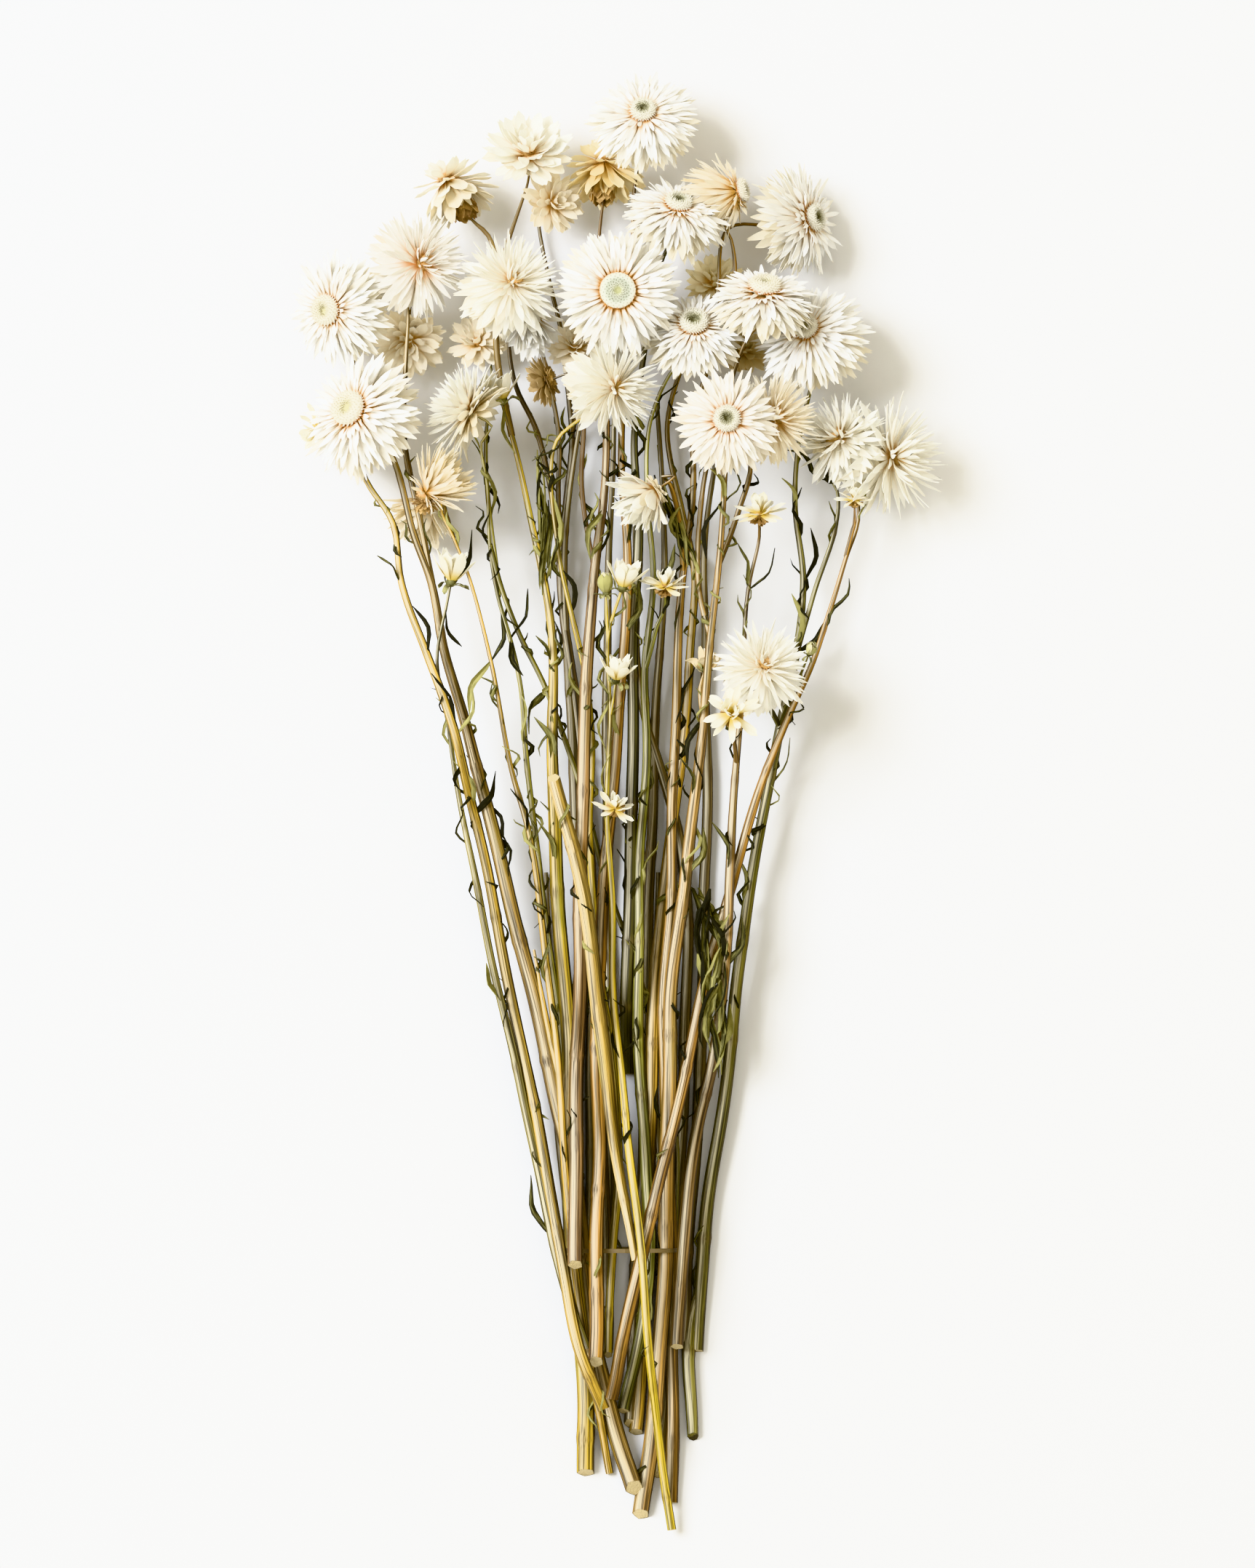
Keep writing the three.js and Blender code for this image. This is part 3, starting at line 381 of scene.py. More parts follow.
# %% [markdown]
# ## Whorls of petals
# The petals stand in whorls round the head, the outer ones broad and lying back, the inner ones
# narrow and standing up. How many, how steep and how long they are makes the kind of head: wide
# open, shaggy, or folded back like a windblown umbrella; half open, hanging, swept back round the
# neck, or draped with broad old petals and big scales; and a small star with a tulip's middle.
# %% Open, shaggy and folded heads
# A whorl is (petals, rise in degrees, reach in radii, curl, how aged with painted shade on the low outer
# whorls, width as a share of half).
KINDS = {
    "OPEN": {
        "half": 0.07, "root": 0.2, "depth": 0.36, "soft": 1.0,
        "whorls": [
            (32, -34, 1.0, -6, 0.9, 1.3), (40, -22, 1.06, -8, 0.6, 1.1), (44, -11, 1.07, -9, 0.4, 0.92),
            (46, 1, 1.0, -10, 0.25, 0.76), (40, 13, 0.84, -16, 0.2, 0.62), (32, 27, 0.56, -20, 0.2, 0.48),
        ],
    },
    "SHAGGY": {
        "half": 0.055, "root": 0.13, "depth": 0.4, "soft": 1.2,
        "whorls": [
            (22, -22, 0.98, 6, 0.6, 2.2), (26, -9, 1.05, 8, 0.35, 1.9), (32, 5, 1.06, 12, 0.16, 1.5),
            (34, 19, 1.02, 16, 0.08, 1.1), (28, 35, 0.94, 20, 0.06, 0.9), (18, 54, 0.8, 14, 0.06, 0.9),
            (10, 72, 0.6, 4, 0.1, 1.1),
        ],
    },
    "FOLDED": {
        "half": 0.055, "root": 0.16, "depth": 0.4, "soft": 1.2,
        "whorls": [
            (22, -54, 0.95, 6, 0.5, 2.3), (26, -40, 1.02, 6, 0.3, 2.1), (30, -25, 1.06, 6, 0.14, 1.7),
            (36, -7, 1.04, 12, 0.06, 1.0), (36, 16, 0.98, 24, 0.04, 0.7), (28, 40, 0.86, 30, 0.05, 0.55),
            (16, 64, 0.6, 16, 0.1, 0.6),
        ],
    },
}
print("petals on an open head", sum(whorl[0] for whorl in KINDS["OPEN"]["whorls"]))
# %% Half open, hanging, swept, draped and star heads
KINDS |= {
    "HALF_OPEN": {
        "half": 0.14, "root": 0.16, "depth": 0.42, "soft": 0.7,
        "whorls": [
            (14, -16, 0.6, 14, 0.7, 1.0), (16, -2, 1.0, 14, 0.35, 1.0), (15, 14, 1.03, 14, 0.15, 1.0),
            (12, 32, 0.94, 14, 0.05, 0.9), (9, 54, 0.72, 10, 0.05, 0.8), (5, 74, 0.5, 6, 0.1, 0.8),
        ],
    },
    "HANGING": {
        "half": 0.15, "root": 0.16, "depth": 0.3, "soft": 0.8,
        "whorls": [
            (12, 4, 0.36, 20, 0.8, 1.0), (14, 30, 1.02, 8, 0.35, 1.1), (16, 48, 1.06, 6, 0.2, 1.0),
            (14, 64, 1.02, 4, 0.14, 0.8), (10, 78, 0.95, 2, 0.2, 0.7),
        ],
    },
    "SWEPT": {
        "half": 0.075, "root": 0.26, "depth": 0.3, "soft": 1.0,
        "whorls": [
            (22, -78, 1.2, 8, 0.7, 1.2), (26, -68, 1.35, 6, 0.5, 1.2), (28, -58, 1.45, 4, 0.3, 1.1),
            (28, -46, 1.4, 4, 0.2, 1.0), (22, -30, 1.1, 6, 0.2, 0.8), (16, -6, 0.7, 20, 0.2, 0.7),
        ],
    },
    "DRAPED": {
        "half": 0.15, "root": 0.2, "depth": 0.6, "soft": 0.7, "bracts": 2.2,
        "whorls": [
            (9, -80, 0.8, 4, 1.0, 0.8), (12, -64, 1.15, 10, 0.8, 1.1), (13, -46, 1.2, 10, 0.5, 1.1),
            (12, -24, 1.1, 10, 0.3, 1.0), (10, 2, 0.9, 14, 0.2, 0.9), (8, 34, 0.6, 14, 0.2, 0.8),
        ],
    },
    "STAR": {
        "half": 0.125, "root": 0.12, "depth": 0.5, "soft": 0.8,
        "whorls": [
            (7, -4, 1.05, 12, 0.3, 1.0), (5, 16, 0.95, 16, 0.15, 1.0), (5, 46, 0.72, 34, 0.1, 1.0),
            (4, 66, 0.62, 24, 0.1, 1.0),
        ],
    },
}
OPEN, SHAGGY, FOLDED, HALF_OPEN, HANGING, SWEPT, DRAPED, STAR = KINDS
print("kinds of head", list(KINDS))
# %% [markdown]
# ## Where the heads sit
# Each head has its kind, slot, radius, the middle of its disc in millimetres, its turn seen from
# above and its lift above the table. They are those of its solid, moved a little where a head
# would hide its neighbour.
# %% The heads
HEADS = {
    "bloom_01": (OPEN, "petal_white", 21, (10.7, 260.7, 34), 95, 55),
    "bloom_02": (HALF_OPEN, "petal_cream", 18, (-32.7, 247, 27), 90, 45),
    "bloom_03": (DRAPED, "petal_cream", 15.5, (-64.3, 236.6, 19), 120, -15),
    "bloom_04": (DRAPED, "petal_yellow", 15, (-4.4, 243.7, 15), 90, -20),
    "bloom_05": (HALF_OPEN, "petal_cream", 13, (-22.8, 227.2, 18), 20, 60),
    "bloom_06": (OPEN, "petal_white", 20, (23.9, 225.5, 38), 80, 35),
    "bloom_07": (SWEPT, "petal_cream", 14, (47, 231, 30), 62, 10),
    "bloom_08": (OPEN, "petal_white", 21, (74.5, 221.1, 20.9), 12, 30),
    "bloom_09": (FOLDED, "petal_white", 20, (-71.2, 204.1, 38), 35, 45),
    "bloom_10": (FOLDED, "petal_white", 20, (-37.4, 197.5, 46), 60, 68),
    "bloom_11": (OPEN, "petal_white", 23.5, (1.1, 192.5, 53), 80, 86),
    "bloom_12": (OPEN, "petal_white", 21, (-108.1, 185.9, 34), 185, 50),
    "bloom_13": (HALF_OPEN, "petal_yellow", 15, (-77.8, 173.8, 13.2), 270, 25),
    "bloom_14": (HANGING, "petal_white", 15, (-32.2, 182.1, 28), 270, 40),
    "bloom_15": (OPEN, "petal_white", 19, (29.7, 180.4, 41), 88, 50),
    "bloom_16": (OPEN, "petal_white", 20, (56.4, 193.6, 46), 85, 28),
    "bloom_17": (OPEN, "petal_white", 22, (72.3, 178.8, 33), 120, 55),
    "bloom_18": (HALF_OPEN, "petal_yellow", 12, (37.7, 198, 12), 90, 30),
    "bloom_19": (OPEN, "petal_white", 24, (-99.3, 148, 44), 150, 48),
    "bloom_21": (SHAGGY, "petal_cream", 18, (-58, 150.2, 36), 145, -5),
    "bloom_22": (FOLDED, "petal_white", 19, (3, 155.7, 48), -10, 25),
    "bloom_23": (HALF_OPEN, "petal_yellow", 10, (-27.2, 159, 30), 195, -20),
    "bloom_24": (OPEN, "petal_white", 20, (42.1, 144.1, 58), 100, 80),
    "bloom_25": (FOLDED, "petal_white", 18, (62.5, 146, 43), 40, 35),
    "bloom_26": (FOLDED, "petal_white", 18, (83.3, 139.7, 28), 60, 30),
    "bloom_27": (FOLDED, "petal_white", 22.5, (108.1, 130.9, 23), 0, 20),
    "bloom_29": (SWEPT, "petal_cream", 13, (-71.5, 116.5, 41), 90, 20),
    "bloom_30": (HANGING, "petal_white", 17, (-71.8, 111.7, 11.6), 250, 10),
    "bloom_31": (HANGING, "petal_white", 16, (12.9, 116.1, 42), 215, 10),
    "bloom_36": (FOLDED, "petal_white", 18, (56.6, 52.4, 44), 80, 62),
    "bloom_44": (HALF_OPEN, "petal_yellow", 12, (48.7, 172.2, 15), 70, 30),
    "bloom_45": (HALF_OPEN, "petal_yellow", 12, (-52, 174.9, 13), 120, 40),
    "bloom_46": (HALF_OPEN, "petal_yellow", 12, (-14.9, 173.3, 17), 100, 40),
    "star_20": (STAR, "petal_yellow", 11, (-113.3, 140.3, 18), 200, 30),
    "star_28": (STAR, "petal_yellow", 7.5, (90.5, 115.5, 30), 90, 20),
    "star_32": (STAR, "petal_yellow", 11, (54.4, 110.3, 38), 90, 40),
    "star_35": (STAR, "petal_cream", 10, (19, 82.8, 40), 90, 40),
    "star_37": (STAR, "petal_cream", 12, (43.9, 34, 56), 90, 72),
    "star_39": (STAR, "petal_cream", 9, (0.3, -1.1, 36), 90, 75),
}
print(len(HEADS), "heads, the widest", 2 * max(head[2] for head in HEADS.values()), "mm")
# %% [markdown]
# ## Neck and collar
# Under the petals a head narrows to its stem in a short scaly cone. On top, an open head has
# its downy collar. A profile drawn from the foot over the ring into the hollow is spun once round.
# Fine hairs then stand on the ring. A head seen only from its back or side needs them as well,
# since the bunch is looked at from all sides.
# %% A spun collar and its hairs
COLLAR = (
    (0, -0.12), (0.92, -0.1), (1.0, 0.08), (1.08, 0.34), (1.0, 0.6),
    (0.78, 0.72), (0.52, 0.6), (0.34, 0.34), (0.16, 0.22), (0, 0.2),
)
DISC = (
    (0, -0.12), (0.9, -0.1), (1.0, 0.08), (1.02, 0.2), (0.9, 0.28),
    (0.66, 0.26), (0.42, 0.3), (0.26, 0.28), (0.12, 0.22), (0, 0.2),
)
TURNS = 28
GOLDEN_TURN = 2.39996
HAIR_FOOT, HAIR_TIP = 0.32, 0.05


def spun(bm, marks, home, profile, size):
    """Spins a profile drawn in (radius, height) steps once round the head's axis."""
    verts = []
    for step, (r, z) in enumerate(profile):
        vert = bm.verts.new(Vector((r * size, 0, z * size)) * MM)
        vert[marks["along"]] = max(0.0, (step - 1) / (len(profile) - 2))
        verts.append(vert)
    edges = [bm.edges.new(pair) for pair in zip(verts, verts[1:])]
    bmesh.ops.spin(
        bm, geom=verts + edges, cent=(0, 0, 0), axis=(0, 0, 1), dvec=(0, 0, 0),
        angle=2 * math.pi, steps=TURNS, use_merge=True,
    )
    whole = {vert for face in bm.faces for vert in face.verts}
    bmesh.ops.remove_doubles(bm, verts=list(whole), dist=1e-7)
    bmesh.ops.recalc_face_normals(bm, faces=bm.faces[:])
    bmesh.ops.transform(bm, matrix=home, verts=bm.verts[:])


def hairs(bm, marks, home, profile, size, count, length, chance):
    """Fine hairs that stand out from a spun collar, in the turning order of a seed head."""
    for n in range(count):
        share = 0.16 + 0.62 * (n + 0.5) / count
        step = share * (len(profile) - 1)
        k = int(step)
        (r0, z0), (r1, z1) = profile[k], profile[min(k + 1, len(profile) - 1)]
        r, z = r0 + (r1 - r0) * (step - k), z0 + (z1 - z0) * (step - k)
        away = Vector((z1 - z0, 0, -(r1 - r0))).normalized()
        away = -away if away.x * (r - 0.4) + away.z * (z - 0.2) < 0 else away
        lean = Vector((chance.uniform(-0.25, 0.25), chance.uniform(-0.25, 0.25), 0.35))
        spin = Matrix.Rotation(n * GOLDEN_TURN, 4, "Z")
        way = (away + lean).normalized()
        tall = length * chance.uniform(0.6, 1.2)
        spot = Vector((r, 0, z)) * size + way * tall * 0.42
        stand = Matrix.Translation(spot * MM) @ way.to_track_quat("Z", "Y").to_matrix().to_4x4()
        new = bmesh.ops.create_cone(
            bm, cap_ends=True, segments=4, radius1=HAIR_FOOT * MM, radius2=HAIR_TIP * MM,
            depth=tall * MM, matrix=home @ spin @ stand,
        )
        for vert in new["verts"]:
            vert[marks["along"]] = max(0.0, (step - 1) / (len(profile) - 2))


print("a collar has", TURNS, "sides")
# %% [markdown]
# ## A whole head
# The petals are laid first, whorl by whorl, and thickened in one go. The neck is a cone between
# the stem and the root of the petals, with short overlapping scales that lie back below the outer
# whorl, so that none pierces a petal. Collar and hairs come last.
# %% Building one head
PILE = 0.05  # how far one whorl sits above the last, in radii


def head(name, kind, slot, radius, heart, turn, lift):
    form = KINDS[kind]
    chance = random.Random(name)
    middle = Matrix.Translation(Vector(heart) * MM)
    seat = middle @ facing_of(turn, lift).to_track_quat("Z", "Y").to_matrix().to_4x4()
    home = middle @ facing_of(*LEANS.get(name, (turn, lift))).to_track_quat("Z", "Y").to_matrix().to_4x4()
    bm, marks = start_mesh()
    layers = len(form["whorls"])
    middle_kind, ring = MIDDLES.get(name, ("tuft", 0))
    for k, (count, rise, reach, curl, aged, broad) in enumerate(form["whorls"]):
        root = ring / radius if ring else form["root"] * (1 - 0.85 * k / layers)
        for n in range(count):
            angle = 2 * math.pi * (n + 0.5 * (k % 2) + chance.uniform(-0.4, 0.4)) / count
            length = (reach - root * math.cos(turned(rise))) * radius * chance.uniform(0.82, 1.05)
            lay_petal(
                bm, marks, home, angle, root * radius, (k - layers + 0.5) * PILE * radius, length,
                form["half"] * broad * radius * chance.uniform(0.75, 1.25), rise + chance.gauss(0, 5),
                curl + chance.gauss(0, 12), chance, aged, form["soft"] * (0.35 + 0.9 * k / layers),
            )
    thicken(bm, marks)
    neck(bm, seat, form, radius, chance)
    if ring:
        top(bm, middle_kind, home, ring, chance)
    elif kind != STAR:
        top(bm, "tuft", home, 0.75 * form["root"] * radius, chance)
    petals = PETALS[FADED.get(name) or {STAR: "star", FOLDED: "fan"}.get(kind, slot)]
    return piece(name, bm, [petals, NECK, COLLARS[middle_kind]], slot, name)


print("on a head of 21 mm radius the whorls sit", round(PILE * 21, 2), "mm apart")
# %% What sets single heads apart
# Heads whose petals were pushed to another side than the one the neck points to.
LEANS = {
    "bloom_26": (128, 34), "bloom_27": (4, 24), "bloom_36": (60, 62), "bloom_25": (28, 40),
    "bloom_10": (52, 50), "bloom_09": (20, 52), "bloom_22": (-10, 34), "bloom_13": (270, 62),
    "bloom_18": (90, 50), "bloom_07": (15, 14), "bloom_29": (215, -12),
    "star_35": (90, 28), "star_39": (78, 32), "star_32": (95, 32),
    "bloom_44": (70, 55), "bloom_45": (110, 62), "bloom_46": (100, 60),
}
# Heads that yellowed or browned more than their neighbours, and a low head in shade given a darker copy of the
# petals with shade painted in.
FADED = {
    "bloom_09": "amber", "bloom_23": "brown", "bloom_30": "petal_yellow", "bloom_44": "dusk",
    "bloom_05": "petal_yellow", "bloom_18": "gold", "bloom_04": "gold", "bloom_07": "petal_yellow",
    "bloom_31": "petal_cream",
    "bloom_24": "amber", "bloom_25": "petal_yellow", "bloom_29": "petal_yellow",
}
# The middle of each open head: its kind and the size of its ring in millimetres.
MIDDLES = {
    "bloom_01": ("hollow", 4.3), "bloom_06": ("hollow", 4.5), "bloom_07": ("soft", 3.6),
    "bloom_08": ("hollow", 4.5),
    "bloom_11": ("flat", 6.7), "bloom_12": ("soft", 5.2), "bloom_15": ("hollow", 5.0),
    "bloom_16": ("soft", 5.2), "bloom_17": ("soft", 4.2), "bloom_19": ("soft", 6.2),
    "bloom_24": ("hollow", 4.4),
}
print("open heads", len(MIDDLES))
# %% Joining parts into one piece
def joined(bm, other, material):
    """Adds a finished bmesh to another, with its material's place in the list."""
    for face in other.faces:
        face.material_index = material
    mesh = bpy.data.meshes.new("part")
    other.to_mesh(mesh)
    other.free()
    bm.from_mesh(mesh)
    bpy.data.meshes.remove(mesh)


print("a head's materials are its petals, its neck and its collar, in that order")
# %% The neck with its scales, and the top of an open head
SCALE_ROWS, SCALES = 4, 10
NECK_END = 1.2  # radius of the neck where the stem enters it
SCALE_FOOT = 1.1  # the lowest scales start just inside that


def neck(bm, home, form, radius, chance):
    cone = start_mesh()[0]
    tall, bracts = form["depth"] * radius, form.get("bracts", 1)
    stand = Matrix.Translation(Vector((0, 0, -tall / 2 - 0.3)) * MM)
    bmesh.ops.create_cone(
        cone, cap_ends=True, segments=16, radius1=NECK_END * MM, radius2=form["root"] * radius * MM,
        depth=tall * MM, matrix=home @ stand,
    )
    joined(bm, cone, 1)
    scales, scale_marks = start_mesh()
    outer, base = form["whorls"][0][1], (0.5 - len(form["whorls"])) * PILE * radius
    for row in range(SCALE_ROWS):
        share = row / SCALE_ROWS
        low = (base + tall - 0.4) * share - tall
        foot = SCALE_FOOT + (form["root"] * radius - SCALE_FOOT) * (1 + low / tall)
        rise = -74 if bracts > 1 else 30 * (1 - share) + (outer - 12) * share
        for n in range(SCALES):
            angle = 2 * math.pi * (n + 0.5 * (row % 2)) / SCALES + chance.uniform(-0.1, 0.1)
            lay_petal(
                scales, scale_marks, home, angle, foot, low, radius * 0.3 * bracts, radius * 0.06 * bracts,
                rise + chance.uniform(-10, 10), -10, chance, 0.9, 0.3,
            )
    thicken(scales, scale_marks)
    # A small or draped head shows brown scales, a wide one petal-coloured ones.
    joined(bm, scales, 1 if bracts > 1 or radius < 16 else 0)


# How many hairs a disc or a tuft has, and their length. A ring has more and longer ones.
HAIRS = {"flat": (190, 0.6), "tuft": (50, 1.0)}


def top(bm, middle_kind, home, size, chance):
    ring, ring_marks = start_mesh()
    profile = DISC if middle_kind == "flat" else COLLAR
    spun(ring, ring_marks, home, profile, size)
    count, length = HAIRS.get(middle_kind, (260, 1.2))
    hairs(ring, ring_marks, home, profile, size, count, length, chance)
    joined(bm, ring, 2)


print("the neck is", round(KINDS["OPEN"]["depth"] * 21, 1), "mm deep on a head of 21 mm radius")
# %% All the heads
for name, (kind, slot, radius, heart, turn, lift) in HEADS.items():
    head(name, kind, slot, radius, heart, turn, lift)
faces = sum(len(made[name].data.polygons) for name in HEADS)
print(len(HEADS), "heads with", faces, "faces in all")
# %% [markdown]
# ## The finish of a dry stem
# Dried stems are ribbed lengthwise, dull, and streaked where the green skin has turned straw,
# tan or mauve brown. A streak has to follow the bend of its stem, so each ring of a stem carries
# its own directions: grain holds the place round the stem and the length along it, and a noise
# that is drawn out along the length becomes streaks. The mark shade tells how far the skin faces
# the window: a highlight is painted along that side, and shade is painted on the flanks.
# %% Streaked stems
STREAKS, PATCHES, RIBS = (700.0, 700.0, 16.0), (160.0, 160.0, 22.0), (1900.0, 1900.0, 20.0)
# The first two colours are a highlight painted where a stem faces the window and the shade painted on its
# flanks; the scar brown and the pith are the stem's own colours.
PAINTED_HIGHLIGHT, PAINTED_FLANK_SHADE, SCAR_BROWN, PITH = "FAF2D8", "2E220F", "5A4326", "CDBC90"


def stem_finish(name, light, dark, fresh):
    finish = Finish(name, Roughness=0.68, Specular_IOR_Level=0.3)
    grain = finish.add("Attribute", {"attribute_name": "grain"}, out="Vector")
    streaks = finish.noise(finish.stretched(grain, STREAKS), 1.0, 4.0, 0.65)
    patches = finish.noise(finish.stretched(grain, PATCHES), 1.0, 2.0)
    ribs = finish.noise(finish.stretched(grain, RIBS), 1.0, 2.0)
    colour = finish.mixed(finish.smooth(streaks, 0.3, 0.62), paint(dark), paint(light))
    colour = finish.mixed(finish.smooth(patches, 0.5, 0.72) * 0.7, colour, paint(fresh))
    # Painted highlight where the skin faces the window, painted shade on the flanks that turn away.
    lit = finish.mark("shade") + (streaks - 0.5) * 0.3
    colour = finish.mixed(finish.smooth(lit, 0.7, 1.04) * 0.58, colour, paint(PAINTED_HIGHLIGHT))
    colour = finish.mixed((1 - finish.smooth(lit, -0.25, 0.74)) * 0.84, colour, paint(PAINTED_FLANK_SHADE))
    colour = finish.mixed(finish.smooth(ribs, 0.48, 0.62) * 0.7, colour, paint(dark))
    colour = finish.mixed(finish.mark("warm") * 0.4, colour, paint(SCAR_BROWN))
    colour = finish.mixed(finish.mark("tone"), colour, paint(PITH))
    finish.set(finish.shader, {"Base_Color": colour})
    finish.bump(streaks + ribs * 0.6, 0.8, 0.0008)
    return finish.material


print("streaks run", round(STREAKS[0] / STREAKS[2]), "times longer than they are wide")
# %% [markdown]
# ## Rolling a stem
# A stem is a long thin tube along a bent path. A curve with a round bevel would be quick, but it
# can't swell at a leaf's scar or carry the grain. So a grid is rolled round the path: its columns go
# round, its rows go along, and the seam is welded. Ribs, scars and slow bends are worked in while
# the rows are carried to their places. The first end is cut at a slant and shows the pale pith.
# %% A smooth path through listed points
STEP = 3.2


def smooth_path(points):
    """Even steps along a curve through the points, in millimetres."""
    pts = [Vector(p) for p in points]
    pts = [2 * pts[0] - pts[1]] + pts + [2 * pts[-1] - pts[-2]]
    path = []
    for a, b, c, d in zip(pts, pts[1:], pts[2:], pts[3:]):
        count = max(1, round((c - b).length / STEP))
        ta, tb, tc = (max(1e-3, (q - p).length) ** 0.5 for p, q in ((a, b), (b, c), (c, d)))
        leave = ((b - a) / ta - (c - a) / (ta + tb) + (c - b) / tb) * tb
        reach = ((c - b) / tb - (d - b) / (tb + tc) + (d - c) / tc) * tb
        for i in range(count):
            t = i / count
            path.append(
                b * (2 * t**3 - 3 * t**2 + 1) + leave * (t**3 - 2 * t**2 + t)
                + c * (3 * t**2 - 2 * t**3) + reach * (t**3 - t**2)
            )
    path.append(pts[-2])
    return path


def frames(path):
    """A pair of directions across the path at each of its points, that don't spin round it."""
    ways = [(b - a).normalized() for a, b in zip(path, path[1:])]
    ways.append(ways[-1])
    side = ways[0].orthogonal().normalized()
    pairs = []
    for before, way in zip([ways[0]] + ways, ways):
        side = (before.rotation_difference(way) @ side).normalized()
        side = (side - way * side.dot(way)).normalized()
        pairs.append((side, way.cross(side)))
    return pairs


print("a stem gets a ring every", STEP, "mm")
# %% One length of stem
RIBS_ROUND, RIB, SCAR_SWELL = 5, 0.07, 0.12
# The way to the window light. The mark shade taken from it paints a highlight on the side of a stem that faces
# the window and shade on its flanks.
PAINTED_LIGHT_WAY = Vector((-0.42, 0.15, 0.895))
# How wide a stem is from its cut end to its tip, as a share of its listed width.
SLIMMING = ((0, 1.16), (0.35, 1.24), (0.6, 1.16), (0.8, 0.8), (1, 0.52))


def roll(bm, marks, points, start_width, end_width, chance, sides=10, cut=True, brown=0):
    path = smooth_path(points)
    pairs = frames(path)
    rows = len(path) - 1
    sheet = bmesh.ops.create_grid(bm, x_segments=sides, y_segments=rows, size=1, calc_uvs=True)
    scars, at = [], chance.uniform(10, 50)
    while at < rows * STEP - 14:
        scars.append(at)
        at += chance.uniform(24, 80)
    waver, slant = chance.uniform(0, 6), chance.uniform(0.15, 0.9)
    for vert in sheet["verts"]:
        around = math.pi * (vert.co.x + 1)
        row = round((vert.co.y + 1) / 2 * rows)
        far = row * STEP
        width = start_width + (end_width - start_width) * row / rows
        width *= 1.04 * between(SLIMMING, row / rows)
        scar = max([math.exp(-(((far - s) / 1.8) ** 2)) for s in scars] or [0])
        radius = width / 2 * (1 + RIB * math.cos(RIBS_ROUND * around) + SCAR_SWELL * scar)
        ease = min(1, row / 4, (rows - row) / 4)
        (side, up), spot = pairs[row], path[row].copy()
        spot += side * 0.35 * ease * math.sin(far / 11 + waver) + up * 0.2 * ease * math.cos(far / 17)
        out = side * math.cos(around) + up * math.sin(around)
        if row == 0:
            spot += side.cross(up) * out.z * radius * slant
        spot += out * radius
        spot.z = max(spot.z, 0.1)
        vert.co = spot * MM
        round_it = radius * math.cos(around), radius * math.sin(around)
        vert[marks["grain"]] = Vector((*round_it, far + 40 * waver)) * MM
        # shade: how far this spot faces the window, for the painted highlight and flank shade.
        vert[marks["warm"]], vert[marks["shade"]] = 0.8 * scar + brown, out.dot(PAINTED_LIGHT_WAY)
    bmesh.ops.remove_doubles(bm, verts=sheet["verts"], dist=1e-7)
    whole = [vert for vert in sheet["verts"] if vert.is_valid]
    rims = {edge for vert in whole for edge in vert.link_edges if edge.is_boundary}
    caps = bmesh.ops.holes_fill(bm, edges=list(rims), sides=sides)["faces"]
    if cut:
        start = [face for face in caps if (face.calc_center_median() / MM - path[0]).length < start_width]
        bmesh.ops.inset_region(bm, faces=start, thickness=start_width * 0.08 * MM, depth=0)
        for face in start:
            for vert in face.verts:
                vert[marks["tone"]] = 1
    return path


print("ribs stand", RIB, "of a radius proud, scars", SCAR_SWELL)
# %% [markdown]
# ## Dry leaves
# The leaves left on the stems are narrow, folded along the middle, curled and nearly black
# green or brown. Each is the same small grid as a petal, longer and twisted, carried along the
# four points that its solid is bent through. Small ones that the solids leave out grow beside them.
# %% Leaf finish and one leaf
def leaf_finish(name, light, dark):
    finish = Finish(name, Roughness=0.75, Specular_IOR_Level=0.2)
    veins = finish.noise(finish.stretched(finish.strip(), (7.0, 2.5, 1.0)), 2.0, 3.0)
    share = finish.smooth(finish.mark("tone") + (veins - 0.5) * 1.4 - finish.mark("warm") * 0.3, 0.1, 0.9)
    finish.set(finish.shader, {"Base_Color": finish.mixed(share, paint(dark), paint(light))})
    finish.bump(veins, 0.6, 0.0005)
    return finish.material


LEAF = leaf_finish("dry_leaf", "9C965E", "201E12")
LEAF_ROWS, LEAF_THICK = 7, 0.25
BLADE = ((0, 0.3), (0.15, 0.75), (0.4, 1.0), (0.7, 0.8), (0.9, 0.4), (1, 0.06))


def lay_leaf(bm, marks, points, width, chance):
    path = smooth_path(points)
    pairs = frames(path)
    grid = bmesh.ops.create_grid(bm, x_segments=2, y_segments=LEAF_ROWS, size=1, calc_uvs=True)
    twist, start, tone = chance.uniform(-2.4, 2.4), chance.uniform(0, 6), chance.random()
    fold = chance.uniform(0.3, 0.9)
    for vert in grid["verts"]:
        across, along = vert.co.x, (vert.co.y + 1) / 2
        step = along * (len(path) - 1)
        k = min(int(step), len(path) - 2)
        spot = path[k].lerp(path[k + 1], step - k)
        side, up = pairs[k]
        roll_by = start + twist * along
        flat = side * math.cos(roll_by) + up * math.sin(roll_by)
        proud = up * math.cos(roll_by) - side * math.sin(roll_by)
        wide = width / 2 * between(BLADE, along)
        spot += flat * across * wide + proud * abs(across) * wide * fold
        spot.z = max(spot.z, 0.4)
        vert.co = spot * MM
        vert[marks["tone"]], vert[marks["along"]], vert[marks["warm"]] = tone, along, abs(across)
        vert[marks["up"]] = proud * MM


print("a leaf has", 2 * LEAF_ROWS, "squares a side")
# %% [markdown]
# ## The stems, in the order they lie
# Each stem is a main length and its side twigs: the width at its two ends, the head or bud that it
# carries, and the points that it is bent through, from the cut end to the neck of its head.
# %% Routes of the stems
def length(start_width, end_width, carries, points, bud=0):
    return start_width, end_width, carries, points, bud


